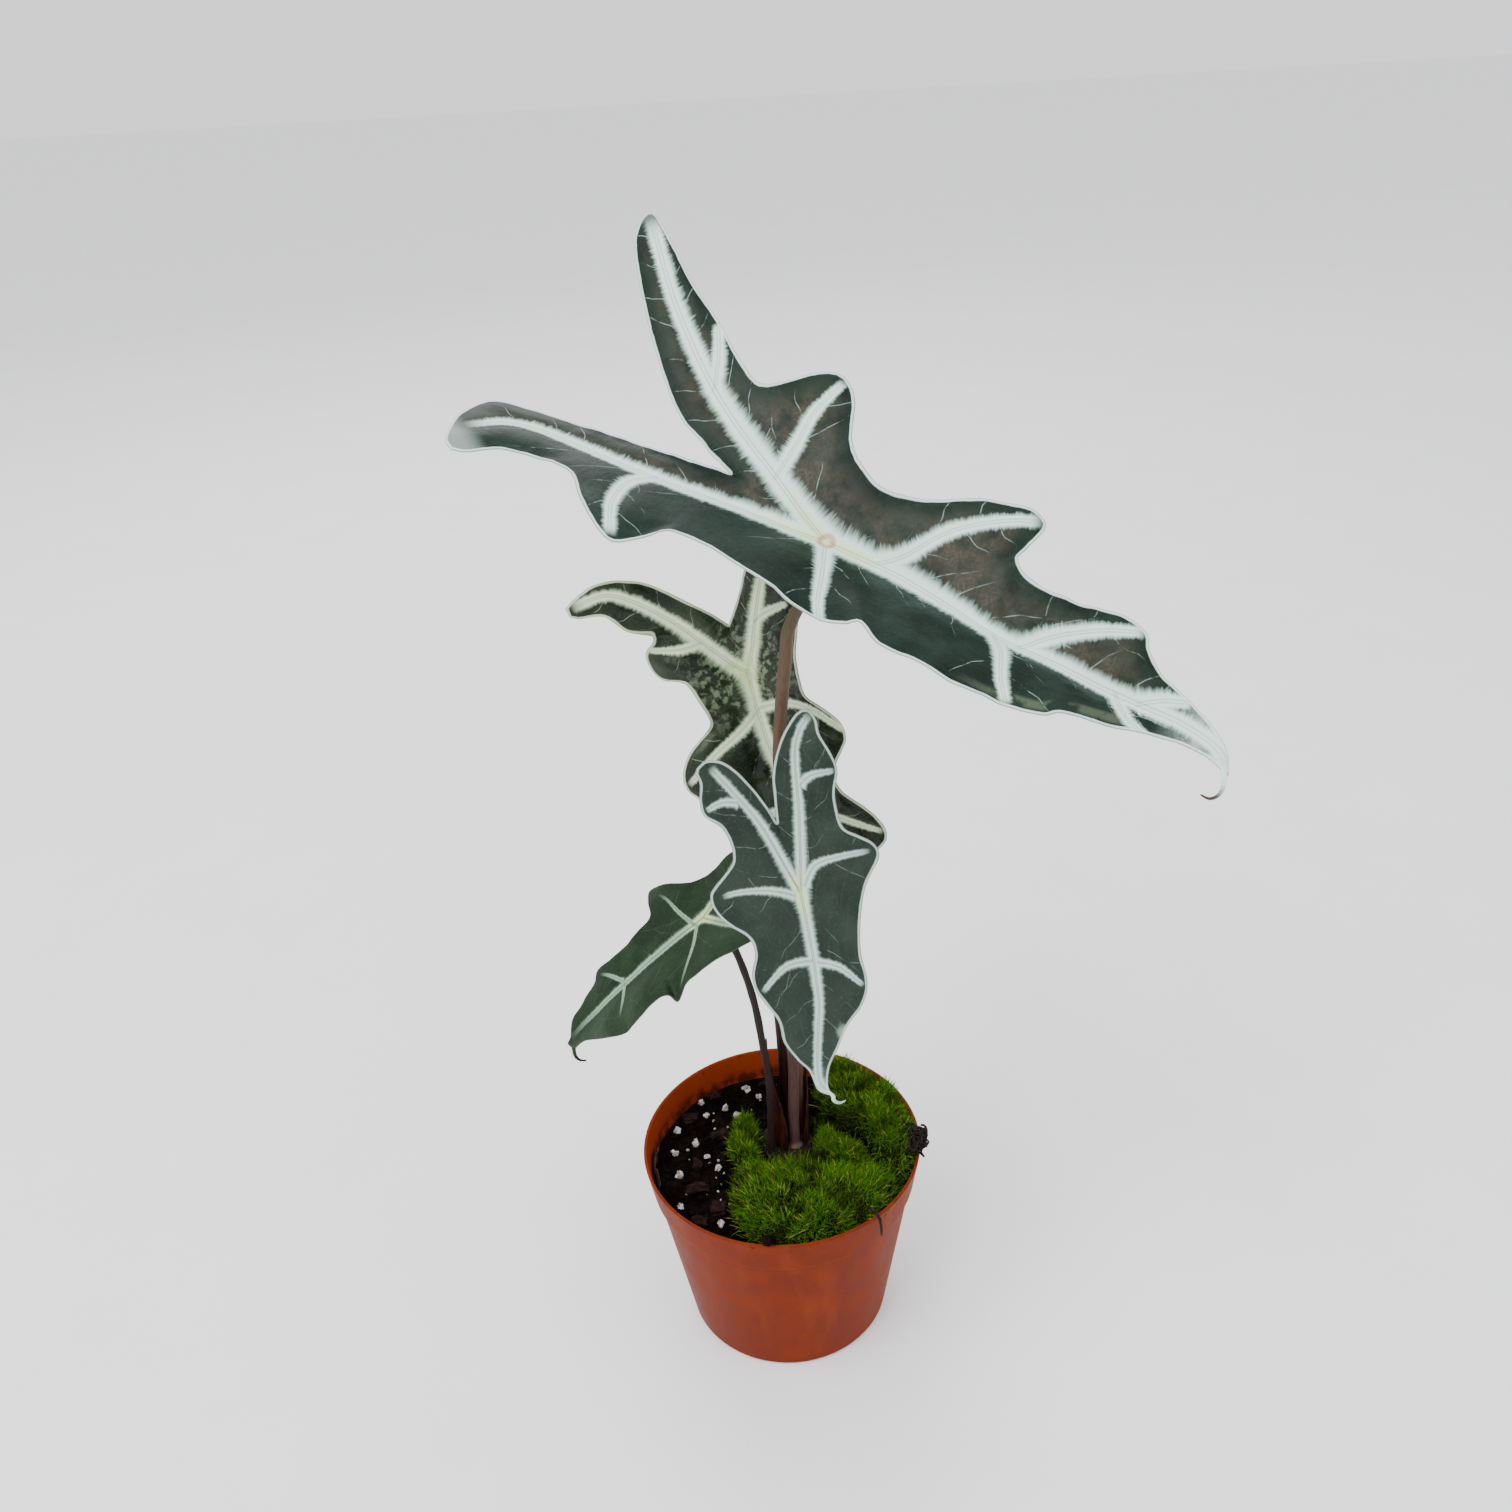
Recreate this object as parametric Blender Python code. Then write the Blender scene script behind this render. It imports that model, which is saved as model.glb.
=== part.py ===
"""Potted alocasia: a plastic nursery pot with soil, moss, a rhizome, four petioles and four leaf blades.

Frame: metres, +Z up, origin at the centre of the pot's underside, the side it is looked at from towards -Y.
Lengths below are in millimetres and are scaled once, when a mesh is made.
A blade is drawn in its own frame, in percent of its length: along the midrib, across to its left,
and lifted off its plane.
"""
import math

import bmesh
import bpy
import numpy as np
from mathutils import Matrix, Vector

for old in list(bpy.data.objects):
    bpy.data.objects.remove(old)

MM = 0.001
GAP = 0.3                      # clearance between neighbouring pieces

# ---- driving dimensions, millimetres ----
POT_RIM_RADIUS = 60.0
POT_BASE_RADIUS = 43.9
POT_HEIGHT = 90.2
POT_WALL = 1.4
POT_FLOOR = 1.6
RIM_BAND_HEIGHT = 16.0
RIM_BAND_STEP = 1.2
DRAIN_HOLE_RADIUS = 1.9
DRAIN_HOLES = 8
FREEBOARD = 12.0               # soil surface below the rim
STEM_AT = (4.0, 12.0)          # centre of the petiole bundle
RHIZOME_AT = (2.0, 10.0)
RHIZOME_RADIUS = 12.0
RHIZOME_DEPTH = 24.0
RHIZOME_CROWN = 1.5            # top of the rhizome above the soil
SHEATH_RADIUS = 7.9            # inside
SHEATH_WALL = 0.8
BLADE_THICKNESS = 1.0
BLADE_EDGE = 0.5               # thickness at the margin
PETIOLE_APPROACH = 8.0         # straight run behind each blade

SOIL_LEVEL = POT_HEIGHT - FREEBOARD
CROWN_LEVEL = SOIL_LEVEL + RHIZOME_CROWN
BAND_FOOT = POT_HEIGHT - RIM_BAND_HEIGHT
BASE_CORNER = 1.6              # rounding where the wall meets the floor, outside and inside
BAND_SLOPE = 0.8               # height over which the wall steps out to the rim band
LAID_OUT_FOR = 56.6            # inside radius at the soil that the places on the soil are given for
LAID_OUT_ROUND = 12.0          # rhizome radius that the same places are given for
ROUND_REACH = 30.0             # how far from the rhizome a place still shifts with its size

# ---- leaves ----
# joint: where the petiole meets the blade, its height above the crown. aim: compass angle of the midrib
# from +X. droop: midrib below level.
# roll: turn about the midrib. fold: rise of the left and right halves, degrees.
# arch, tip_droop, lobe_droop: percent of length.
# midrib, left_rib, right_rib: (along, across). left_edge and right_edge: (along, across, wave, foot),
# where foot is the place on the midrib (+) or on that side's rear rib (-) that the edge point is fed from.
LEAVES = {
    "top": dict(
        joint=(26.5, 0.0, 282.8), aim=-33.5, droop=19.5, roll=25.0, length=153.0, fold=(24.0, 27.0),
        arch=2.0, tip_droop=2.0, lobe_droop=5.0,
        midrib=[(0, 0), (17, 1), (32, 0), (46, -1.5), (57, 0), (69, 1), (79.5, 2.5), (87.5, 3.5), (95, 3),
                (100, 1)],
        left_rib=[(0, 0), (-9.5, 3.5), (-18, 7), (-31, 12), (-44, 18), (-56.5, 25.5), (-68, 33.5), (-83, 46)],
        right_rib=[(0, 0), (-8.5, -2), (-19.5, -4), (-42.5, -9.5), (-69, -13), (-78, -16.5), (-82, -24)],
        left_edge=[
            (100, 1, -3, 97), (96.5, 4, 0, 94), (88, 7.5, 0, 84), (79, 9, 0.5, 74), (74, 11, 1.5, 67),
            (71, 15, -0.5, 60), (65, 15.5, 0, 55), (56, 13, 0.5, 48), (46, 11.5, 2, 38),
            (40, 13.5, 2.5, 31), (40, 18, 0.5, 27), (40.5, 24.5, -1.5, 20), (35.5, 25.5, -0.5, 15),
            (26, 22.5, 0.5, 9), (15.5, 17, 2, 4), (7, 14, 3.5, 0), (0.5, 15, 4, 0),
            (-7, 20, 2.5, -8), (-12.5, 29.5, 0, -14), (-18.5, 34, -2, -20), (-23.5, 32.5, -1.5, -26),
            (-29.5, 26, 0.5, -34), (-34, 22.5, 2, -40), (-41, 25, 1.5, -50), (-53, 32, 0, -62),
            (-64, 37, 0, -74), (-75, 43.5, 0, -86), (-85.5, 49, -1.5, -97), (-85, 41.5, 0, -97),
            (-75.5, 31, 0, -82), (-63, 20, 0.5, -66), (-49.5, 10, 1.5, -48), (-38.5, 6, 0.5, -32),
            (-29, 3.5, 0, 0)],
        right_edge=[
            (-29, 3.5, 0, 0), (-35.5, 2, 1.5, -30), (-49, -1, 2, -46), (-64, -4.5, 1.5, -62),
            (-78.5, -7.5, 0.5, -76), (-88.5, -12, 0, -90), (-88, -22, 0, -97), (-81.5, -33, -1.5, -97),
            (-75, -33.5, -0.5, -92), (-70.5, -27, 0, -84), (-61.5, -23.5, 0.5, -72), (-52.5, -24, 2, -60),
            (-44, -30.5, 1.5, -50), (-34, -36, 0, -42), (-30, -35.5, -1.5, -36), (-26.5, -30, 0, -30),
            (-23.5, -26, 2, -24), (-15, -24.5, 2.5, -12), (1.5, -25.5, 2.5, 0), (8, -26, 0.5, 0),
            (14, -24, -2, 2), (19.5, -22.5, -0.5, 5), (22.5, -21.5, 2, 8), (29, -24, 0.5, 14),
            (37, -23, 0.5, 22), (46.5, -23, 0, 34), (56, -19.5, -1.5, 44), (63.5, -17.5, 0.5, 54),
            (66.5, -14.5, 2, 60), (73.5, -9, 0.5, 70), (84.5, -2, 0, 82), (93.5, 0, 0, 92), (100, 1, -3, 97)],
        petiole=[(8.3, 13.6, 8), (8.0, 11.0, 40), (7.4, 8.0, 100), (7.0, 6.0, 160), (7.2, 5.0, 201),
                 (10.8, 5.0, 237), (13.6, 5.0, 252)],
        petiole_radii=(2.9, 2.7, 2.2)),
    "back": dict(
        joint=(-3.0, 34.0, 219.3), aim=-37.5, droop=69.0, roll=62.0, length=100.0, fold=(20.0, 20.0),
        arch=3.0, tip_droop=3.0, lobe_droop=8.0,
        midrib=[(0, 0), (21, -1.5), (52, -0.5), (70, 0.5), (87, 0), (101, -0.5)],
        left_rib=[(0, 0), (-8, 5), (-17, 9.5), (-35, 19.5), (-50, 31)],
        right_rib=[(0, 0), (-6, -5), (-22, -15), (-31, -21.5), (-40, -29.5), (-46.5, -38.5), (-46.5, -50)],
        left_edge=[
            (101, -0.5, 0, 97), (95, 6, 0, 92), (87.5, 16, 1, 84), (81.5, 25.5, 0, 74), (77.5, 31.5, -3, 66),
            (70.5, 32.5, -2, 60), (61.5, 28.5, 1, 54), (53.5, 23, 4, 48), (47.5, 21.5, 5, 44),
            (41.5, 23.5, 3, 36),
            (37.5, 27, -2, 28), (34, 29.5, -5, 20), (27, 29.5, -3, 13), (18.5, 24.5, 1, 8), (13, 21, 4, 4),
            (7, 21, 5, 0), (-1.5, 22, 3, 0), (-10, 25, 0, -12), (-16.5, 28, -3, -24), (-23.5, 32, -3, -38),
            (-31.5, 34, 0, -54), (-39, 36, 1, -70), (-46.5, 35.5, 0, -84), (-53, 32.5, -2, -97),
            (-51.5, 25.5, 0, -90), (-45.5, 19, 0, -74), (-38.5, 13.5, 0, -56), (-31.5, 8.5, 0, -38),
            (-25, 3.5, 1, -20), (-19.5, -1, 0, 0)],
        right_edge=[
            (-19.5, -1, 0, 0), (-26, -5, 2, -22), (-33, -10.5, 3, -36), (-40.5, -18, 2, -52),
            (-46.5, -25.5, 1, -66), (-50.5, -34, 0, -80), (-51.5, -43, 0, -90), (-47, -54, -2, -97),
            (-42.5, -52, -1, -94), (-40, -43, 0, -84), (-37, -39, 2, -72), (-31.5, -36, 1, -58),
            (-28.5, -31.5, 2, -48), (-26.5, -27, 5, -40), (-23.5, -28.5, 2, -34), (-20, -33.5, -4, -28),
            (-13, -34, -5, -18), (-8, -30.5, -4, -8), (-4.5, -23, 0, 0), (2, -19, 6, 0),
            (9.5, -18, 4, 3), (15, -20, 0, 7), (19, -26, -3, 11), (23, -31.5, -4, 16), (29.5, -36, -4, 21),
            (36.5, -36.5, -4, 27), (40.5, -33, -2, 33), (46.5, -28, 2, 41), (53, -24, 4, 50),
            (60.5, -21, 3, 58), (72.5, -16, 0, 70), (83.5, -9.5, 0, 82), (93.5, -5, 0, 91),
            (101, -0.5, 0, 97)],
        petiole=[(2.6, 16.3, 8), (2.8, 16.3, 34), (1.8, 21.0, 70), (0.5, 30.0, 112), (0.0, 38.0, 160),
                 (-0.5, 45.0, 195), (-1.0, 47.5, 211)],
        petiole_radii=(2.9, 2.4, 2.0)),
    "front": dict(
        joint=(12.0, -32.0, 160.8), aim=-74.0, droop=68.5, roll=15.0, length=79.0, fold=(12.0, 14.0),
        arch=3.0, tip_droop=4.0, lobe_droop=5.0,
        midrib=[(0, 0), (27.5, 1), (51.5, 0.5), (65.5, -2), (80.5, -4.5), (92, -5), (101, 0)],
        left_rib=[(0, 0), (-10.5, 1.5), (-38.5, 5), (-64, 7), (-75, 11), (-80.5, 15.5)],
        right_rib=[(0, 0), (-14.5, -5.5), (-29.5, -11), (-42, -17), (-64, -31)],
        left_edge=[
            (101, 0, 0, 97), (95, -1.5, 0, 93), (86, 0.5, 0, 86), (77, 5.5, 0, 76), (65, 12, 0, 64),
            (57, 19, 0, 55), (50, 23, -2.5, 46), (41.5, 24, 0, 38), (29.5, 23, 2.5, 28), (13, 25.5, 2.5, 14),
            (-1, 30, 1.5, 4), (-10.5, 37, -2.5, 0), (-15, 38, -4, 0), (-20, 35.5, -1.5, -6),
            (-24.5, 29.5, 1.5, -14), (-29, 23.5, 2.5, -24), (-39, 22, 1.5, -38), (-46, 22.5, 0, -48),
            (-54, 25, -2.5, -58), (-62, 23.5, 0, -68), (-72, 19.5, 1.5, -80), (-78.5, 19, 0, -90),
            (-83.5, 16, -1.5, -97), (-83, 11, 0, -93), (-76, 4.5, 0, -80), (-67.5, -0.5, 0, -66),
            (-56.5, -4.5, 0, -50), (-45, -5.5, 1, -34), (-34.5, -6, 0, 0)],
        right_edge=[
            (-34.5, -6, 0, 0), (-44.5, -10, 1, -44), (-54, -15.5, 0, -62), (-62, -21, 0, -78),
            (-67.5, -27.5, 0, -90), (-68, -34.5, -1.5, -97), (-64.5, -38.5, 0, -94), (-58.5, -37.5, 0, -82),
            (-49.5, -39, -1.5, -68), (-43, -37.5, -1.5, -56), (-37.5, -31, 1.5, -44), (-29, -28, 2.5, -28),
            (-21, -28.5, 2.5, -14), (-14.5, -34.5, 0, -4), (-8.5, -40.5, -2.5, 0), (-0.5, -40.5, -2.5, 0),
            (7.5, -35, 0, 4), (14.5, -27, 2.5, 10), (22.5, -25, 2.5, 16), (32.5, -28, 0, 24),
            (40.5, -27.5, -2.5, 32), (47, -24.5, -1.5, 40), (56.5, -19.5, 1.5, 52), (67.5, -18.5, 1.5, 64),
            (78, -14, 0, 76), (86, -9, 0, 85), (96, -6.5, 0, 93), (101, 0, 0, 97)],
        petiole=[(5.6, 7.7, 8), (6.5, 4.5, 40), (8.5, -4.0, 90), (11.0, -15.0, 135), (12.0, -22.5, 152)],
        petiole_radii=(2.9, 2.4, 1.9)),
    "left": dict(
        joint=(-26.0, 2.0, 127.8), aim=-176.0, droop=43.0, roll=-20.0, length=84.0, fold=(9.0, 9.0),
        arch=3.5, tip_droop=3.5, lobe_droop=5.0,
        midrib=[(0, 0), (15, -1), (31, -0.5), (50, 0), (72, -1.5), (89, -3), (102, -2.5)],
        left_rib=[(0, 0), (-8, 10), (-17, 21), (-25, 30)],
        right_rib=[(0, 0), (-10, -3), (-20, -7), (-31, -13)],
        left_edge=[
            (102, -2.5, -6, 97), (88, 5.5, 0, 86), (70, 19.5, 1, 72), (60.5, 24, -1, 62), (45.5, 26.5, 1, 50),
            (35, 25.5, 2.5, 40), (29, 27, 1, 30), (28, 30, -3.5, 20), (19.5, 27.5, 0, 13), (8.5, 29, 2.5, 5),
            (-5, 31, 2.5, 0), (-12, 32.5, 1, -25), (-20, 34, 0, -65), (-27, 35, -2, -97), (-26, 27, 0, -88),
            (-20, 16, 0, -50), (-16, 7, 0, 0)],
        right_edge=[
            (-16, 7, 0, 0), (-22, -2, 0, -50), (-30, -7, 0, -85), (-34, -15, -1, -97), (-27, -17, 0, -60),
            (-17, -14.5, 2, -25), (-4, -18, 2.5, 0), (9.5, -29, 0, 3), (20, -34.5, -3.5, 8),
            (22.5, -28, -1, 14), (23.5, -18.5, 2.5, 20), (34, -15.5, 2.5, 32), (52.5, -16.5, 0, 48),
            (64, -18.5, -1, 58), (68.5, -14.5, 0, 64), (79, -11.5, 1, 76), (92, -9, 0, 90),
            (102, -2.5, -6, 97)],
        petiole=[(-4.5, 2.5, 6), (-3.8, 2.0, 40), (-5.9, 2.0, 64), (-8.0, 2.5, 83), (-11.2, 4.0, 98),
                 (-15.0, 5.5, 110)],
        petiole_radii=(1.9, 1.6, 1.5)),
}
VEIN_END = 97                  # the outermost foot, percent of a vein
MIDRIB_STEPS = 12
REAR_RIB_STEPS = 8
BLADE_ROWS = 2
BLADE_PUFF = 0.05              # how far the blade crowns between vein and edge, share of the width there
FOLD_ROUNDING = 1.5            # percent of length over which the fold at the midrib is rounded

# ---- pot contents, millimetres ----
MOSS = {
    # outline on the soil, height, where the crown of the cushion sits
    "front": dict(height=11.0, crown=(12, -32), outline=[
        (-19, -10), (-22, -26), (-17, -41), (-8, -51), (6, -53.5), (22, -49.5), (37, -40), (47.5, -27.5),
        (44, -17.5), (30, -14), (14, -9.5), (0, -7.5), (-10, -7)]),
    "right": dict(height=14.5, crown=(43, 20), outline=[
        (48.5, -23), (53, -14), (55.3, 0), (54.5, 12), (49.5, 25), (40, 38), (29, 46.5), (21, 47), (17.5, 39),
        (20, 27), (27, 15), (38, 5), (42, -7)]),
    "middle": dict(height=6.0, crown=(24, -1), outline=[
        (13, -5.5), (24, -9), (37, -12), (37.5, -4), (29, 4.5), (22, 12), (17.5, 13), (16, 3)]),
    "left": dict(height=8.0, crown=(-17, 8), outline=[
        (-11.5, 14), (-14, 21), (-19, 20), (-22, 8), (-20, -4), (-13, -5), (-11.2, 3)]),
}
MOSS_SEGMENTS = 22
MOSS_RINGS = 4

# centre (x, y), half length, turn in degrees
PERLITE = [(-15.5, 44, 2.2, 10), (-9.5, 39, 1.7, 60), (-36, 37, 1.8, 35), (-25, 32.5, 1.9, 80),
           (-33.5, 28.5, 1.6, 5), (-19.5, 26.5, 2.1, 50), (-46.5, 19.5, 1.9, 20), (-38, 11, 2.1, 70),
           (-47, 5.5, 1.7, 40), (-33, 2.5, 1.5, 15), (-28, -4.5, 1.8, 65), (-45, -7.5, 2.2, 30),
           (-44, -25.5, 1.8, 75), (-27, -37, 2.1, 55)]
# centre (x, y), length, width, height, turn in degrees
BARK = [(-41, 27, 8, 4, 2.6, 20), (-27, 16, 9, 5, 3.0, -35), (-30, 42, 7, 4, 2.4, 10),
        (-37, -1.5, 6, 4, 2.4, 70),
        (-37, -16, 9, 5, 3.0, -20), (-28, -27, 8, 5, 2.6, 40), (-36, -34, 7, 4, 2.4, -50),
        (-5, 47, 8, 4, 2.6, -15)]


def material(name, colour, roughness, metallic=0.0):
    """Principled finish with one colour."""
    made = bpy.data.materials.new(name)
    made.use_nodes = True
    shader = made.node_tree.nodes["Principled BSDF"]
    shader.inputs["Base Color"].default_value = (*colour, 1.0)
    shader.inputs["Roughness"].default_value = roughness
    shader.inputs["Metallic"].default_value = metallic
    return made


def add_object(name, mesh, finish):
    piece = bpy.data.objects.new(name, mesh)
    bpy.context.collection.objects.link(piece)
    mesh.materials.append(finish)
    mesh.shade_smooth()
    mesh.set_sharp_from_angle(angle=math.radians(40))
    return piece


def mesh_from(name, points, faces):
    """Mesh in metres from points in millimetres."""
    mesh = bpy.data.meshes.new(name)
    mesh.from_pydata((np.asarray(points) * MM).tolist(), [], faces)
    mesh.validate()
    mesh.update()
    return mesh


def smooth_curve(points, where):
    """Catmull-Rom curve through the points; where counts points from 0 and may hold fractions."""
    points = np.asarray(points, dtype=float)
    last = len(points) - 1
    low = np.clip(np.floor(where).astype(int), 0, last - 1)
    t = (np.asarray(where) - low)[:, None]
    before = points[np.maximum(low - 1, 0)]
    start = points[low]
    end = points[low + 1]
    after = points[np.minimum(low + 2, last)]
    return 0.5 * (2 * start + (end - before) * t + (2 * before - 5 * start + 4 * end - after) * t ** 2
                  + (3 * start - before - 3 * end + after) * t ** 3)


def place_on_vein(points, share):
    """Point a given share of the way along a vein, measured on its length."""
    fine = smooth_curve(points, np.linspace(0, len(points) - 1, 200))
    length = np.concatenate([[0], np.cumsum(np.linalg.norm(np.diff(fine, axis=0), axis=1))])
    return np.array([np.interp(share * length[-1], length, fine[:, axis]) for axis in (0, 1)])


# ---- pot ----
def band_radius(z, inside=False):
    """Radius of the tapering wall at height z, stepped out over the rim band."""
    slope = (POT_RIM_RADIUS - RIM_BAND_STEP - POT_BASE_RADIUS) / POT_HEIGHT
    radius = POT_BASE_RADIUS + slope * z
    if z >= BAND_FOOT:
        radius += RIM_BAND_STEP
    return radius - (POT_WALL if inside else 0.0)


def spread_out(place):
    """Place on the soil: by the wall it moves in and out with the wall, by the rhizome with the rhizome."""
    x, y = place
    reach = (x * x + y * y) / LAID_OUT_FOR ** 2
    scale = 1 + (band_radius(SOIL_LEVEL, True) / LAID_OUT_FOR - 1) * min(reach, 1.0)
    off_x, off_y = x - RHIZOME_AT[0], y - RHIZOME_AT[1]
    distance = math.hypot(off_x, off_y)
    nearness = max(0.0, 1 - (distance - LAID_OUT_ROUND) / ROUND_REACH)
    push = (RHIZOME_RADIUS - LAID_OUT_ROUND) * min(nearness, 1.0) / distance
    return x * scale + off_x * push, y * scale + off_y * push


def lathe(name, profile, finish, segments=48):
    """Closed solid turned about Z from a profile that starts and ends on the axis."""
    angles = np.linspace(0, 2 * math.pi, segments, endpoint=False)
    middle = profile[1:-1]
    points = [(r * math.cos(a), r * math.sin(a), z) for r, z in middle for a in angles]
    points += [(0, 0, profile[0][1]), (0, 0, profile[-1][1])]
    start, end = len(points) - 2, len(points) - 1
    faces = []
    for ring in range(len(middle) - 1):
        for k in range(segments):
            nxt = (k + 1) % segments
            faces.append((ring * segments + k, ring * segments + nxt,
                          (ring + 1) * segments + nxt, (ring + 1) * segments + k))
    last = (len(middle) - 1) * segments
    for k in range(segments):
        nxt = (k + 1) % segments
        faces.append((start, nxt, k))
        faces.append((end, last + k, last + nxt))
    return add_object(name, mesh_from(name, points, faces), finish)


def cutter(name, centre, radius, low, high, segments=16):
    """Round cutter along Z, left out of the build."""
    profile = [(0, low), (radius, low), (radius, high), (0, high)]
    tool = lathe(name, profile, material(name, (0.5, 0.5, 0.5), 0.5), segments)
    tool.location = (centre[0] * MM, centre[1] * MM, 0)
    tool.hide_render = True
    tool.display_type = "WIRE"
    return tool


def cut(piece, tool):
    change = piece.modifiers.new(tool.name, "BOOLEAN")
    change.operation = "DIFFERENCE"
    change.object = tool


def build_pot():
    """Thin tapered wall with a stepped rim band, a rolled lip and a flat floor with drain holes."""
    edge = BASE_CORNER
    lip = 0.7
    top_out = band_radius(POT_HEIGHT)
    top_in = band_radius(POT_HEIGHT, True)
    outside = [(0, 0), (POT_BASE_RADIUS - edge, 0), (POT_BASE_RADIUS - 0.3 * edge, 0.35 * edge),
               (band_radius(edge), edge), (band_radius(BAND_FOOT - 0.01), BAND_FOOT - BAND_SLOPE),
               (band_radius(BAND_FOOT), BAND_FOOT), (top_out - 0.1, POT_HEIGHT - lip)]
    rim = [(top_out - 0.35, POT_HEIGHT), (top_in + 0.3, POT_HEIGHT)]
    inside = [(top_in, POT_HEIGHT - lip), (band_radius(BAND_FOOT, True), BAND_FOOT),
              (band_radius(BAND_FOOT - 0.01, True), BAND_FOOT - BAND_SLOPE),
              (band_radius(POT_FLOOR + edge, True), POT_FLOOR + edge),
              (band_radius(POT_FLOOR, True) - edge, POT_FLOOR), (0, POT_FLOOR)]
    pot = lathe("pot", outside + rim + inside, material("terracotta plastic", (0.36, 0.075, 0.03), 0.42))
    hole_circle = 0.6 * POT_BASE_RADIUS
    for k in range(DRAIN_HOLES):
        angle = 2 * math.pi * (k + 0.5) / DRAIN_HOLES
        centre = (hole_circle * math.cos(angle), hole_circle * math.sin(angle))
        cut(pot, cutter(f"drain_cutter_{k + 1}", centre, DRAIN_HOLE_RADIUS, -2, POT_FLOOR + 2, 12))


def build_soil():
    """Potting mix that fills the pot to the soil level, with a socket for the rhizome."""
    under = POT_FLOOR + GAP
    edge = BASE_CORNER
    profile = [(0, under), (band_radius(under, True) - edge - GAP, under),
               (band_radius(under + edge, True) - GAP, under + edge),
               (band_radius(BAND_FOOT - 0.01, True) - GAP, BAND_FOOT - BAND_SLOPE),
               (band_radius(BAND_FOOT, True) - GAP, BAND_FOOT + GAP),
               (band_radius(SOIL_LEVEL - 1, True) - GAP, SOIL_LEVEL - 1),
               (band_radius(SOIL_LEVEL, True) - GAP - 2, SOIL_LEVEL), (0, SOIL_LEVEL)]
    soil = lathe("soil", profile, material("potting mix", (0.022, 0.014, 0.010), 0.95))
    cut(soil, cutter("rhizome_socket", RHIZOME_AT, RHIZOME_RADIUS + GAP,
                     CROWN_LEVEL - RHIZOME_DEPTH - GAP, POT_HEIGHT, 20))


def build_rhizome():
    """Short fleshy stump that the petioles stand on."""
    foot = CROWN_LEVEL - RHIZOME_DEPTH
    profile = [(0, foot), (0.45 * RHIZOME_RADIUS, foot), (0.8 * RHIZOME_RADIUS, foot + 3),
               (RHIZOME_RADIUS, foot + 9), (RHIZOME_RADIUS, CROWN_LEVEL - 1.5),
               (RHIZOME_RADIUS - 1.5, CROWN_LEVEL), (0, CROWN_LEVEL)]
    stump = lathe("rhizome", profile, material("rhizome skin", (0.075, 0.035, 0.022), 0.8), 20)
    stump.location = (RHIZOME_AT[0] * MM, RHIZOME_AT[1] * MM, 0)


# ---- leaves ----
def leaf_axes(leaf):
    """Unit vectors along the midrib, to the blade's left and out of its upper face."""
    aim, droop, roll = (math.radians(leaf[key]) for key in ("aim", "droop", "roll"))
    along = Vector((math.cos(aim) * math.cos(droop), math.sin(aim) * math.cos(droop), -math.sin(droop)))
    level = along.cross(Vector((0, 0, 1))).normalized()
    face = Matrix.Rotation(roll, 3, along) @ level.cross(along)
    left = face.cross(along)
    return np.array(along), np.array(left), np.array(face)


def joint_place(leaf):
    """Where the petiole meets the blade, in the plant's frame."""
    x, y, above = leaf["joint"]
    return np.array((x, y, CROWN_LEVEL + above))


def base_lift(leaf, along, across):
    """Lift of the unrippled blade: two halves folded up, an arch along the midrib, drooping tip and lobes."""
    left, right = (math.tan(math.radians(fold)) for fold in leaf["fold"])
    slope = np.where(across > 0, left, right)
    lift = slope * (np.sqrt(across ** 2 + FOLD_ROUNDING ** 2) - FOLD_ROUNDING)
    share = along / 100
    ahead = np.clip(share, 0, 1)
    behind = np.clip(-share, 0, 1)
    lift = lift + leaf["arch"] * np.sin(math.pi * ahead) ** 2 - leaf["tip_droop"] * ahead ** 3
    return lift - leaf["lobe_droop"] * behind ** 2


def edge_columns(edge, midrib_steps, rib_steps):
    """Places on one edge that get a column of points, each with the foot on a vein that it starts from.

    Where the foot moves along a vein there is one column for each step of that vein, so the columns of
    both sides start from the same points. Where the foot stays, the columns fan out from it.
    """
    fan = 2
    midrib = np.linspace(0, VEIN_END, midrib_steps + 1)
    rib = -np.linspace(0, VEIN_END, rib_steps + 1)
    places = []
    for k in range(len(edge) - 1):
        start, end = edge[k][3], edge[k + 1][3]
        if start == end:
            places += [(k + step / fan, float(start)) for step in range(fan)]
            continue
        grid = midrib if max(start, end) > 0 else rib
        inside = [g for g in grid if min(start, end) < g < max(start, end) or g == start]
        inside.sort(reverse=start > end)
        places += [(k + (g - start) / (end - start), float(g)) for g in inside]
    return places


def blade_points(leaf):
    """Feet and edge points of the blade's columns in leaf coordinates, and the name of each foot."""
    columns = []
    for side, edge in (("left", leaf["left_edge"]), ("right", leaf["right_edge"])):
        places = edge_columns(edge, MIDRIB_STEPS, REAR_RIB_STEPS)
        outline = smooth_curve([point[:3] for point in edge], np.array([place for place, _ in places]))
        for (_, foot), rim in zip(places, outline):
            if foot == 0:
                columns.append((("joint", 0.0), np.zeros(2), rim))
            elif foot > 0:
                columns.append((("midrib", foot), place_on_vein(leaf["midrib"], foot / 100), rim))
            else:
                columns.append(((side, foot), place_on_vein(leaf[side + "_rib"], -foot / 100), rim))
    return columns


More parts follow.
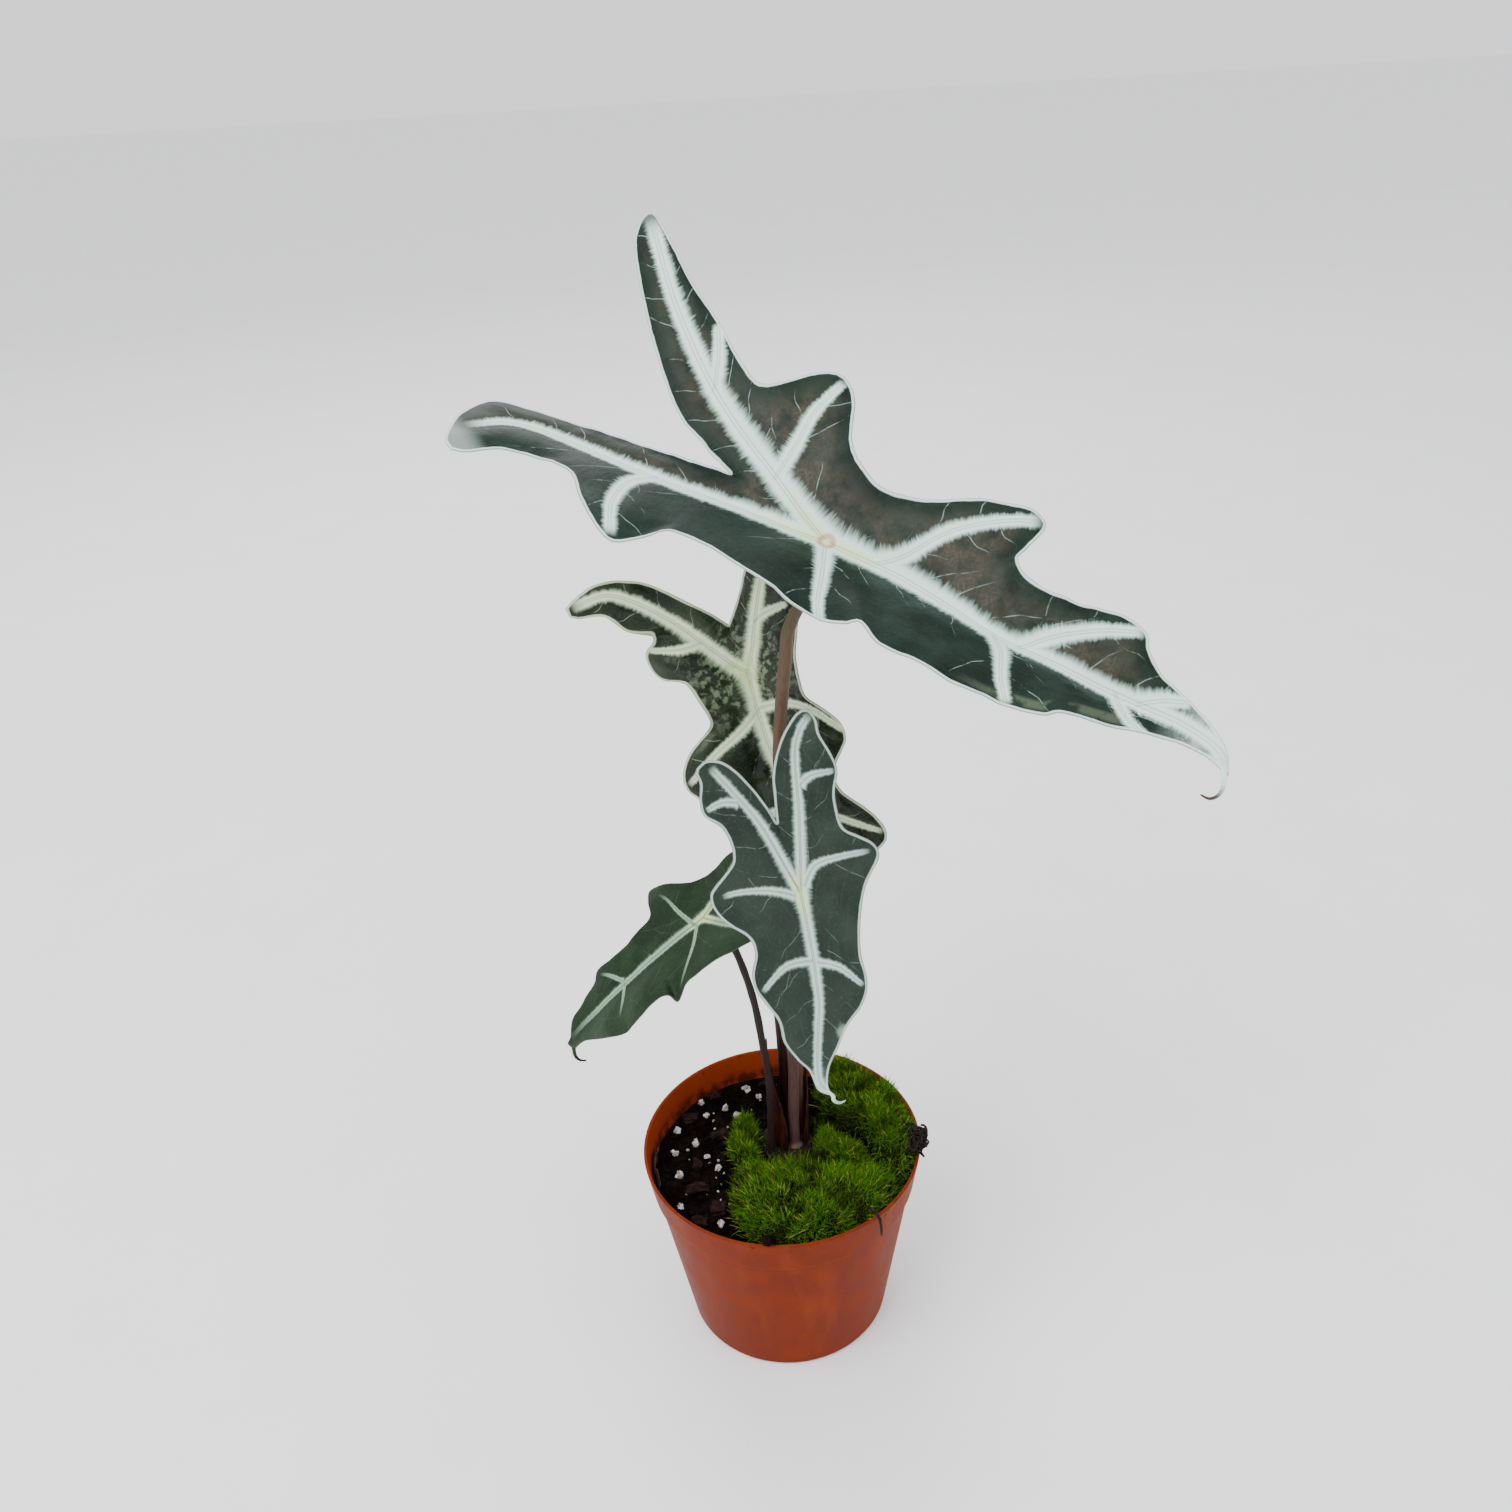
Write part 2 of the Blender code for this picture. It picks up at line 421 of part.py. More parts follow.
def build_blade(name, leaf, finish):
    """Closed thin blade: columns run from the veins to the edge, then the sheet is given its thickness."""
    along, left, face = leaf_axes(leaf)
    scale = leaf["length"] / 100
    points = []
    feet = {}
    columns = []

    def add(where, lift):
        points.append((where[0] * along + where[1] * left + lift * face) * scale + joint_place(leaf))
        return len(points) - 1

    for key, foot, rim in blade_points(leaf):
        if key not in feet:
            feet[key] = add(foot, base_lift(leaf, foot[0], foot[1]))
        column = [feet[key]]
        width = float(np.linalg.norm(rim[:2] - foot))
        for row in range(1, BLADE_ROWS + 1):
            share = row / BLADE_ROWS
            where = foot + (rim[:2] - foot) * share
            lift = base_lift(leaf, where[0], where[1]) + rim[2] * share ** 2
            column.append(add(where, lift + BLADE_PUFF * width * math.sin(math.pi * share)))
        columns.append(column)
    faces = []
    for this, following in zip(columns, columns[1:] + columns[:1]):
        for row in range(BLADE_ROWS):
            corners = [this[row], this[row + 1], following[row + 1], following[row]]
            faces.append(corners[:3])
            if corners[0] != corners[3]:
                faces.append([corners[0], corners[2], corners[3]])
    edge = [column[-1] for column in columns]
    return add_object(name, thickened(name, np.array(points), faces, edge), finish)


def thickened(name, points, faces, edge):
    """Closed solid made from a sheet: both faces stand off along its normals, less at its edge."""
    corners = points[np.array(faces)]
    face_normals = np.cross(corners[:, 1] - corners[:, 0], corners[:, 2] - corners[:, 0])
    normals = np.zeros_like(points)
    np.add.at(normals, np.array(faces), face_normals[:, None, :])
    normals /= np.linalg.norm(normals, axis=1)[:, None]
    half = np.full(len(points), 0.5 * BLADE_THICKNESS)
    half[edge] = 0.5 * BLADE_EDGE
    solid = np.concatenate([points + normals * half[:, None], points - normals * half[:, None]])
    count = len(points)
    under = [[corner + count for corner in reversed(each)] for each in faces]
    band = [[b, a, a + count, b + count] for a, b in zip(edge, edge[1:] + edge[:1])]
    return mesh_from(name, solid, faces + under + band)


def tube(name, path, radii, finish, sides=8, ends=None):
    """Round tube with flat ends through the points of a path, one radius for each point.

    ends: the directions that the two flat ends face along, where they aren't the path's own.
    """
    path = np.asarray(path, dtype=float)
    tangent = np.gradient(path, axis=0)
    tangent[0] = path[1] - path[0]
    tangent[-1] = path[-1] - path[-2]
    if ends:
        tangent[0], tangent[-1] = ends
    tangent /= np.linalg.norm(tangent, axis=1)[:, None]
    first = np.cross(tangent[0], (0.3, 1.0, 0.2))
    first /= np.linalg.norm(first)
    points = []
    for centre, direction, radius in zip(path, tangent, radii):
        first = first - direction * (first @ direction)
        first /= np.linalg.norm(first)
        second = np.cross(direction, first)
        for k in range(sides):
            angle = 2 * math.pi * k / sides
            points.append(centre + radius * (first * math.cos(angle) + second * math.sin(angle)))
    rings = len(path)
    faces = [[ring * sides + k, ring * sides + (k + 1) % sides,
              (ring + 1) * sides + (k + 1) % sides, (ring + 1) * sides + k]
             for ring in range(rings - 1) for k in range(sides)]
    faces.append(list(range(sides))[::-1])
    faces.append([(rings - 1) * sides + k for k in range(sides)])
    return add_object(name, mesh_from(name, points, faces), finish)


def build_petiole(name, leaf, finish, steps=16):
    """Leaf stalk from the rhizome's crown, ending square to the blade just under its joint."""
    face = leaf_axes(leaf)[2]
    joint = joint_place(leaf)
    first = leaf["petiole"][0]
    standoff = 0.5 * BLADE_THICKNESS + 2 * GAP
    route = [(first[0], first[1], CROWN_LEVEL + GAP)]
    route += [(x, y, CROWN_LEVEL + z) for x, y, z in leaf["petiole"]]
    route += [tuple(joint - face * (standoff + PETIOLE_APPROACH)), tuple(joint - face * standoff)]
    path = smooth_curve(route, np.linspace(0, len(route) - 1, steps))
    base, middle, top = leaf["petiole_radii"]
    radii = np.interp(np.linspace(0, 1, steps), (0, 0.2, 1), (base, middle, top))
    tube(name, path, radii, finish, ends=((0, 0, 1), face))


def build_sheath(name, start, end, height, finish):
    """Old leaf sheath: a thin upright wall curled round the petioles, its top edge rising to a point."""
    bends = 10
    rows = 4
    angles = np.radians(np.linspace(start, end, bends + 1))
    across = np.linspace(-1, 1, bends + 1)
    tops = height * (0.2 + 0.8 * (1 - np.abs(across)) ** 0.8)
    foot = CROWN_LEVEL + GAP
    points = []
    for radius in (SHEATH_RADIUS, SHEATH_RADIUS + SHEATH_WALL):
        for angle, top in zip(angles, tops):
            for row in range(rows + 1):
                points.append((STEM_AT[0] + radius * math.cos(angle), STEM_AT[1] + radius * math.sin(angle),
                               foot + top * row / rows))
    side = (bends + 1) * (rows + 1)
    loop = [(a, 0) for a in range(bends + 1)] + [(bends, r) for r in range(1, rows + 1)]
    loop += [(a, rows) for a in range(bends - 1, -1, -1)] + [(0, r) for r in range(rows - 1, 0, -1)]
    faces = []
    for a in range(bends):
        for row in range(rows):
            corner = a * (rows + 1) + row
            inner = [corner, corner + 1, corner + rows + 2, corner + rows + 1]
            faces.append(inner)
            faces.append([side + k for k in reversed(inner)])
    for (a, r), (b, s) in zip(loop, loop[1:] + loop[:1]):
        here = a * (rows + 1) + r
        there = b * (rows + 1) + s
        faces.append([here, there, side + there, side + here])
    return add_object(name, mesh_from(name, points, faces), finish)


# ---- on the soil ----
def ripple(angle, turns, phase):
    return math.sin(turns * angle + phase)


def dome(name, outline, crown, foot, height, finish, rough=0.0, seed=0.0):
    """Closed cushion: rings shrink from an outline to the crown as they rise, over a flat underside."""
    closed = outline + outline[:3]
    where = 1 + np.linspace(0, len(outline), MOSS_SEGMENTS, endpoint=False)
    rim = smooth_curve([outline[-1]] + closed, where)
    crown = np.asarray(crown, dtype=float)
    points = []
    for ring in range(MOSS_RINGS):
        share = ring / MOSS_RINGS
        lift = height * math.sqrt(1 - (1 - share) ** 2)
        for k, edge in enumerate(rim):
            angle = 2 * math.pi * k / MOSS_SEGMENTS
            bump = 1 + rough * ripple(angle, 5, seed + ring) * (ring > 0)
            x, y = edge + (crown - edge) * share
            points.append((x, y, foot + lift * bump))
    points += [(*crown, foot + height), (*crown, foot)]
    top, bottom = len(points) - 2, len(points) - 1
    faces = []
    for k in range(MOSS_SEGMENTS):
        nxt = (k + 1) % MOSS_SEGMENTS
        for ring in range(MOSS_RINGS - 1):
            a = ring * MOSS_SEGMENTS
            b = a + MOSS_SEGMENTS
            faces.append([a + k, a + nxt, b + nxt, b + k])
        last = (MOSS_RINGS - 1) * MOSS_SEGMENTS
        faces.append([last + k, last + nxt, top])
        faces.append([nxt, k, bottom])
    piece = add_object(name, mesh_from(name, points, faces), finish)
    face_outwards(piece.data)
    return piece


def face_outwards(mesh):
    shape = bmesh.new()
    shape.from_mesh(mesh)
    bmesh.ops.recalc_face_normals(shape, faces=shape.faces)
    shape.to_mesh(mesh)
    shape.free()


def grain(name, at, half, turn, foot, finish):
    """Perlite grain: a squashed, uneven icosphere with a flattened underside."""
    shape = bmesh.new()
    bmesh.ops.create_icosphere(shape, subdivisions=1, radius=half * MM)
    for vert in shape.verts:
        u, v = vert.co.x / (half * MM), vert.co.y / (half * MM)
        uneven = 1 + 0.16 * math.sin(5 * u + turn) * math.cos(4 * v)
        vert.co.x *= 1.1 * uneven
        vert.co.y *= 0.9 * uneven
        vert.co.z *= 0.8
    mesh = bpy.data.meshes.new(name)
    shape.to_mesh(mesh)
    shape.free()
    low = min(vert.co.z for vert in mesh.vertices)
    mesh.transform(Matrix.Rotation(math.radians(turn), 4, "Z"))
    mesh.transform(Matrix.Translation((at[0] * MM, at[1] * MM, (foot + GAP) * MM - low)))
    add_object(name, mesh, finish)


def chip(name, at, size, turn, foot, finish):
    """Bark chip: a flat split flake, narrower at one end and bevelled all round."""
    shape = bmesh.new()
    bmesh.ops.create_cube(shape, size=1.0)
    for vert in shape.verts:
        taper = 0.7 if vert.co.x > 0 else 1.0
        skew = 0.12 if vert.co.y > 0 else -0.05
        vert.co.x = (vert.co.x + skew) * size[0] * MM
        vert.co.y *= size[1] * taper * MM
        vert.co.z *= size[2] * (0.7 if vert.co.x > 0 and vert.co.z > 0 else 1.0) * MM
    bmesh.ops.bevel(shape, geom=list(shape.edges), offset=0.18 * size[2] * MM, segments=1, affect="EDGES")
    mesh = bpy.data.meshes.new(name)
    shape.to_mesh(mesh)
    shape.free()
    low = min(vert.co.z for vert in mesh.vertices)
    mesh.transform(Matrix.Rotation(math.radians(turn), 4, "Z"))
    mesh.transform(Matrix.Translation((at[0] * MM, at[1] * MM, (foot + GAP) * MM - low)))
    add_object(name, mesh, finish)


def build_rim_litter():
    """Dried root clump and soil crumb on the rim, a twig hanging over it, and a leaf scrap by the wall."""
    root = material("dried root", (0.03, 0.022, 0.017), 0.9)
    above = POT_HEIGHT + GAP
    right = POT_RIM_RADIUS
    dome("root_clump", [(right - 7.5, -16.5), (right - 1, -15), (right + 2.5, -9), (right + 1.5, -2),
                        (right - 3, 0), (right - 6, -6)], (right - 2, -8.5), above, 8.0, root, 0.2, 1.0)
    front = -POT_RIM_RADIUS
    dome("soil_crumb", [(-11.5, front + 3.5), (-10, front + 0.3), (-6, front - 0.6), (-4, front + 2),
                        (-6.5, front + 5)], (-7.5, front + 2), above, 3.2, root, 0.15, 2.0)
    turn = math.radians(-52)
    outward = np.array([math.cos(turn), math.sin(turn)])
    hang = ((-5, 2.2), (-1.5, 2.0), (1.2, 0.8), (2.3, -3), (2.6, -8))
    path = [(*(outward * (POT_RIM_RADIUS + reach)), POT_HEIGHT + rise) for reach, rise in hang]
    tube("twig", path, (0.5, 0.7, 0.7, 0.6, 0.4), root, 6)
    wall = band_radius(SOIL_LEVEL + 2, True) - 2.6
    scrap = []
    for angle in (172, 180, 188, 196):
        turn = math.radians(angle)
        scrap.append((wall * math.cos(turn), wall * math.sin(turn)))
    inner = [(x * (wall - 2.2) / wall, y * (wall - 2.2) / wall) for x, y in reversed(scrap)]
    crown = (0.5 * (scrap[1][0] + inner[1][0]), 0.5 * (scrap[1][1] + inner[1][1]))
    dome("leaf_scrap", scrap + inner, crown, SOIL_LEVEL + GAP, 8.0,
         material("dead leaf", (0.10, 0.075, 0.03), 0.8))


def main():
    build_pot()
    build_soil()
    build_rhizome()
    blade_finish = {
        "top": material("blade top", (0.028, 0.085, 0.062), 0.38),
        "back": material("blade back", (0.012, 0.028, 0.020), 0.28),
        "front": material("blade front", (0.050, 0.085, 0.075), 0.42),
        "left": material("blade left", (0.045, 0.11, 0.055), 0.45),
    }
    stalk_finish = {
        "top": material("petiole tan", (0.27, 0.14, 0.085), 0.5),
        "back": material("petiole dark", (0.07, 0.03, 0.024), 0.5),
        "front": material("petiole rose", (0.17, 0.085, 0.07), 0.5),
        "left": material("petiole umber", (0.05, 0.03, 0.025), 0.5),
    }
    for name, leaf in LEAVES.items():
        build_blade("blade_" + name, leaf, blade_finish[name])
        build_petiole("petiole_" + name, leaf, stalk_finish[name])
    sheath_finish = material("old sheath", (0.045, 0.012, 0.010), 0.6)
    build_sheath("sheath_tall", 112, 262, 62.0, sheath_finish)
    build_sheath("sheath_short", -42, 62, 48.0, sheath_finish)
    moss_finish = material("moss", (0.10, 0.20, 0.012), 0.9)
    for name, cushion in MOSS.items():
        outline = [spread_out(place) for place in cushion["outline"]]
        dome("moss_" + name, outline, spread_out(cushion["crown"]), SOIL_LEVEL + GAP, cushion["height"],
             moss_finish, 0.06, cushion["height"])
    perlite = material("perlite", (0.72, 0.70, 0.66), 0.85)
    for k, (x, y, half, turn) in enumerate(PERLITE):
        grain(f"perlite_{k + 1:02d}", spread_out((x, y)), half, turn, SOIL_LEVEL, perlite)
    bark = material("bark", (0.06, 0.035, 0.022), 0.9)
    for k, (x, y, length, width, height, turn) in enumerate(BARK):
        chip(f"bark_{k + 1}", spread_out((x, y)), (length, width, height), turn, SOIL_LEVEL, bark)
    build_rim_litter()


main()
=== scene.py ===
"""Looks of the potted alocasia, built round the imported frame.

Its pieces are the pot, the potting mix with its perlite and bark, the stump, the blades and stalks, the old
sheaths, the moss and the litter. Every surface is worked out in millimetres as whole numpy arrays and turned
into metres when its mesh is made.
"""
import math

import bpy
import numpy as np
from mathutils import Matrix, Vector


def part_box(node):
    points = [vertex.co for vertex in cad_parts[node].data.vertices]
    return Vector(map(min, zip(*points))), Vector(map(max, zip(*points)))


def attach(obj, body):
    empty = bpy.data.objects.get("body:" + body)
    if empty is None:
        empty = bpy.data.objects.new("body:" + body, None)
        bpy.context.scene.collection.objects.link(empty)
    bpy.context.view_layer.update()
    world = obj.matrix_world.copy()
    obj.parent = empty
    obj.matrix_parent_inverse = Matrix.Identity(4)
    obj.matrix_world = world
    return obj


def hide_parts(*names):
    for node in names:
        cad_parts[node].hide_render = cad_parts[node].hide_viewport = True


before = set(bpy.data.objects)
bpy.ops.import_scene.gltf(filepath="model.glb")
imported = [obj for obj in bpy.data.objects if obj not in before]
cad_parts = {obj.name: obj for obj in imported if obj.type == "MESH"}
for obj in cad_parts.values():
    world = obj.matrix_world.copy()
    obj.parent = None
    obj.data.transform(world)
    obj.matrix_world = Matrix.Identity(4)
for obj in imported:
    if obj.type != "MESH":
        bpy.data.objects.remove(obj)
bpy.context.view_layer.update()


def box_mm(node):
    """Lowest and highest corner of a node, in millimetres."""
    low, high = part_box(node)
    return np.array(low) * 1000, np.array(high) * 1000


# ---------------------------------------------------------------------------
# Studio: a camera a little above the plant, a pale seamless floor and three large soft lamps.
# The camera looks down on the plant from the front at about 29 degrees.
# ---------------------------------------------------------------------------
CAMERA_AT = (0.0, -0.471, 0.543)
CAMERA_RIGHT = np.array((0.99848, -0.02410, -0.04953))
CAMERA_UP = np.array((0.05500, 0.48590, 0.87228))
CAMERA_LENS = 34.67
SENSOR = 36.0
NEAREST_SEEN = 0.01


def unit(vectors):
    """The same directions with length 1."""
    return vectors / np.linalg.norm(vectors, axis=-1, keepdims=True)


def stand(name, data, right, up, at):
    """New object at a place in the studio, its X axis along right and its Y axis along up."""
    made = bpy.data.objects.new(name, data)
    bpy.context.scene.collection.objects.link(made)
    pose = np.eye(4)
    for column, axis in enumerate((right, up, np.cross(right, up), at)):
        pose[:3, column] = axis
    made.matrix_world = pose.T.tolist()
    return made


def lamp(name, at, aim, width, watts, colour):
    """Square area lamp at a place, turned towards another."""
    data = bpy.data.lights.new(name, "AREA")
    data.size = width
    data.energy = watts
    data.color = colour
    back = unit(np.array(at) - np.array(aim))
    side = unit(np.cross((0.0, 0.0, 1.0), back))
    stand(name, data, side, np.cross(back, side), at)


camera_data = bpy.data.cameras.new("camera")
camera_data.lens = CAMERA_LENS
camera_data.sensor_width = SENSOR
camera_data.clip_start = NEAREST_SEEN
camera_right = unit(CAMERA_RIGHT)
camera_up = unit(CAMERA_UP - camera_right * (camera_right @ CAMERA_UP))
bpy.context.scene.camera = stand("camera", camera_data, camera_right, camera_up, CAMERA_AT)

lamp("key_lamp", (-0.75, -0.65, 1.45), (0.0, 0.0, 0.25), 1.1, 24.0, (1.0, 0.99, 0.97))
lamp("fill_lamp", (1.1, -0.9, 0.9), (0.0, 0.0, 0.2), 1.4, 8.0, (0.98, 0.99, 1.0))
lamp("back_lamp", (-0.3, 1.3, 1.3), (0.0, 0.1, 0.2), 1.3, 11.0, (1.0, 1.0, 1.0))

world = bpy.data.worlds.new("studio")
world.use_nodes = True
daylight = world.node_tree.nodes["Background"].inputs
daylight["Color"].default_value = (0.99, 0.995, 1.0, 1.0)
daylight["Strength"].default_value = 1.3
bpy.context.scene.world = world


class Signal:
    """One number in a shader tree. Arithmetic on it adds Math nodes."""

    def __init__(self, finish, socket):
        self.finish = finish
        self.socket = socket

    def math(self, operation, other=None, swapped=False):
        pair = [self] if other is None else [self, other]
        if swapped:
            pair.reverse()
        made = self.finish.node("ShaderNodeMath", {"operation": operation}, dict(enumerate(pair)))
        return Signal(self.finish, made.outputs[0])

    def __add__(self, other):
        return self.math("ADD", other)

    def __sub__(self, other):
        return self.math("SUBTRACT", other)

    def __rsub__(self, other):
        return self.math("SUBTRACT", other, swapped=True)

    def __mul__(self, other):
        return self.math("MULTIPLY", other)

    def __truediv__(self, other):
        return self.math("DIVIDE", other)

    def __pow__(self, other):
        return self.math("POWER", other)

    def __abs__(self):
        return self.math("ABSOLUTE")

    __radd__ = __add__
    __rmul__ = __mul__

    def rise(self, low, high):
        """0 below low, 1 above high, smooth between; falls instead where low is above high."""
        start, end = (0.0, 1.0) if low < high else (1.0, 0.0)
        made = self.finish.node("ShaderNodeMapRange", {"interpolation_type": "SMOOTHSTEP"},
                                {"Value": self, "From Min": min(low, high), "From Max": max(low, high),
                                 "To Min": start, "To Max": end})
        return Signal(self.finish, made.outputs[0])


class Finish:
    """A Principled material under construction; place is the object coordinate in millimetres."""

    def __init__(self, name, **fixed):
        self.material = bpy.data.materials.new(name)
        self.material.use_nodes = True
        self.tree = self.material.node_tree
        self.shader = self.tree.nodes["Principled BSDF"]
        for socket, value in fixed.items():
            self.shader.inputs[socket.replace("_", " ")].default_value = value
        where = self.node("ShaderNodeTexCoord")
        self.place = self.node("ShaderNodeVectorMath", {"operation": "SCALE"},
                               {0: where.outputs["Object"], "Scale": 1000.0}).outputs[0]

    def node(self, kind, settings=None, sockets=None):
        """Any node: its settings are set first, then its sockets get values or links."""
        made = self.tree.nodes.new(kind)
        for name, value in (settings or {}).items():
            if name == "stops":
                for k, (position, colour) in enumerate(value):
                    stop = made.color_ramp.elements[k] if k < 2 else made.color_ramp.elements.new(position)
                    stop.position = position
                    stop.color = (*colour, 1.0)
            else:
                setattr(made, name, value)
        for name, value in (sockets or {}).items():
            if isinstance(value, Signal):
                self.tree.links.new(value.socket, made.inputs[name])
            elif isinstance(value, bpy.types.NodeSocket):
                self.tree.links.new(value, made.inputs[name])
            else:
                made.inputs[name].default_value = value
        return made

    def noise(self, size, detail=3.0, at=None, roughness=0.55, stretch=None):
        """Noise of a feature size in millimetres, about 0 to 1 round 0.5."""
        where = at or self.place
        if stretch:
            stretched = self.node("ShaderNodeVectorMath", {"operation": "MULTIPLY"}, {0: where, 1: stretch})
            where = stretched.outputs[0]
        made = self.node("ShaderNodeTexNoise", None,
                         {"Vector": where, "Scale": 1.0 / size, "Detail": detail, "Roughness": roughness})
        return Signal(self, made.outputs["Fac"])

    def mix(self, factor, first, second):
        """Colour between two colours."""
        pair = [(*each, 1.0) if isinstance(each, tuple) else each for each in (first, second)]
        made = self.node("ShaderNodeMix", {"data_type": "RGBA"}, {0: factor, 6: pair[0], 7: pair[1]})
        return made.outputs[2]

    def split(self, vector):
        """The three numbers of a vector."""
        made = self.node("ShaderNodeSeparateXYZ", None, {0: vector})
        return [Signal(self, socket) for socket in made.outputs]

    def parts(self, attribute):
        """The three numbers of a vector attribute."""
        return self.split(self.node("ShaderNodeAttribute", {"attribute_name": attribute}).outputs["Vector"])

    def joined(self, *numbers):
        """Vector of two or three numbers."""
        return self.node("ShaderNodeCombineXYZ", None, dict(enumerate(numbers))).outputs[0]

    def feed(self, socket, value):
        """Links a signal or a colour to a socket of the Principled shader."""
        self.tree.links.new(value.socket if isinstance(value, Signal) else value, self.shader.inputs[socket])

    def bump(self, height, distance, strength=1.0):
        """Relief of a height signal; distance is the depth in millimetres."""
        made = self.node("ShaderNodeBump", None,
                         {"Height": height, "Distance": distance / 1000, "Strength": strength})
        self.feed("Normal", made.outputs[0])


def make_piece(name, points, faces, finish, slot, replaces=(), attributes=None, smooth=True):
    """Mesh object in metres from points in millimetres, riding on the one body."""
    mesh = bpy.data.meshes.new(name)
    mesh.from_pydata((np.asarray(points) / 1000).tolist(), [], faces)
    mesh.update()
    for label, values in (attributes or {}).items():
        domain = "POINT" if len(values) == len(points) else "CORNER"
        layer = mesh.attributes.new(label, "FLOAT_VECTOR", domain)
        layer.data.foreach_set("vector", np.asarray(values, dtype=np.float32).ravel())
    if smooth:
        mesh.shade_smooth()
    mesh.materials.append(finish.material)
    piece = bpy.data.objects.new(name, mesh)
    bpy.context.scene.collection.objects.link(piece)
    if slot:
        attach(piece, "root")
        if replaces:
            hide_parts(*replaces)
    return piece


def grid_quads(rows, columns, closed=True):
    """Quads of a rows by columns grid of points; closed joins the last column to the first."""
    steps = columns if closed else columns - 1
    row, column = np.meshgrid(np.arange(rows - 1), np.arange(steps), indexing="ij")
    following = (column + 1) % columns
    quads = np.stack([row * columns + column, row * columns + following,
                      (row + 1) * columns + following, (row + 1) * columns + column], -1)
    return quads.reshape(-1, 4)


FLOOR_HALF = 6000.0
floor_finish = Finish("studio paper", Roughness=0.9)
paper = floor_finish.noise(60.0, 2.0).rise(0.2, 0.8)
floor_finish.feed("Base Color", floor_finish.mix(paper, (0.91, 0.915, 0.92), (0.935, 0.94, 0.945)))
floor_corners = [(x * FLOOR_HALF, y * FLOOR_HALF, 0) for x, y in ((-1, -1), (1, -1), (1, 1), (-1, 1))]
floor = make_piece("floor", floor_corners, [(0, 1, 2, 3)], floor_finish, None, smooth=False)


# ---------------------------------------------------------------------------
# Nursery pot: thin polypropylene blown or moulded in one piece, with a stepped band under a rolled lip
# and drain holes in a flat floor. It is turned finer than the frame's own solid.
# ---------------------------------------------------------------------------
def catmull(points, where):
    """Catmull-Rom curve through points at positions counted from 0: a cubic between each two neighbours."""
    points = np.asarray(points, dtype=float)
    last = len(points) - 1
    low = np.clip(np.floor(where).astype(int), 0, last - 1)
    t = (np.asarray(where) - low)[:, None]
    before, start = points[np.maximum(low - 1, 0)], points[low]
    end, after = points[low + 1], points[np.minimum(low + 2, last)]
    return 0.5 * (2 * start + (end - before) * t + (2 * before - 5 * start + 4 * end - after) * t ** 2
                  + (3 * start - before - 3 * end + after) * t ** 3)


def full_turn(count):
    """Angles of a full turn in equal steps."""
    return np.linspace(0, 2 * math.pi, count, endpoint=False)


def polar(radius, angle, centre=(0.0, 0.0)):
    """x and y at a radius and an angle from a centre: centre + radius times (cosine, sine)."""
    return np.stack([centre[0] + radius * np.cos(angle), centre[1] + radius * np.sin(angle)], -1)


def ring_faces(rows, around):
    """Quads between rings, and triangles from the end rings to the two poles after their points."""
    k = np.arange(around)
    following = (k + 1) % around
    last = (rows - 1) * around
    caps = np.vstack([np.stack([np.full(around, rows * around), following, k], -1),
                      np.stack([np.full(around, rows * around + 1), last + k, last + following], -1)])
    return grid_quads(rows, around).tolist() + caps.tolist()


def turned_surface(profile, segments, centre=(0.0, 0.0)):
    """Profile of (radius, height) carried round a vertical axis; the ends of the profile lie on the axis."""
    radius, height = np.array(profile[1:-1]).T
    xy = polar(radius[:, None], full_turn(segments), centre)
    rings = np.dstack([xy, np.repeat(height[:, None], segments, 1)]).reshape(-1, 3)
    poles = [[*centre, profile[0][1]], [*centre, profile[-1][1]]]
    return np.vstack([rings, poles]), ring_faces(len(radius), segments)


pot_high = box_mm("pot")[1]
POT_TOP = float(pot_high[2])
RIM_RADIUS = float(pot_high[0])
POT_WALL = 1.4
POT_FLOOR = 1.6
BASE_RADIUS = 43.9
BAND_STEP = 1.2
BAND_FOOT = POT_TOP - 16.0
POT_SEGMENTS = 160
HOLE_RADIUS = 1.9
HOLES = 8
HOLE_SIDES = 24
LIP_SET_BACK = 0.1


def wall_radius(z, inside=False):
    """Outer or inner radius of the pot's wall at a height."""
    slope = (RIM_RADIUS + LIP_SET_BACK - BAND_STEP - BASE_RADIUS) / POT_TOP
    return BASE_RADIUS + slope * z + (BAND_STEP if z >= BAND_FOOT else 0) - (POT_WALL if inside else 0)


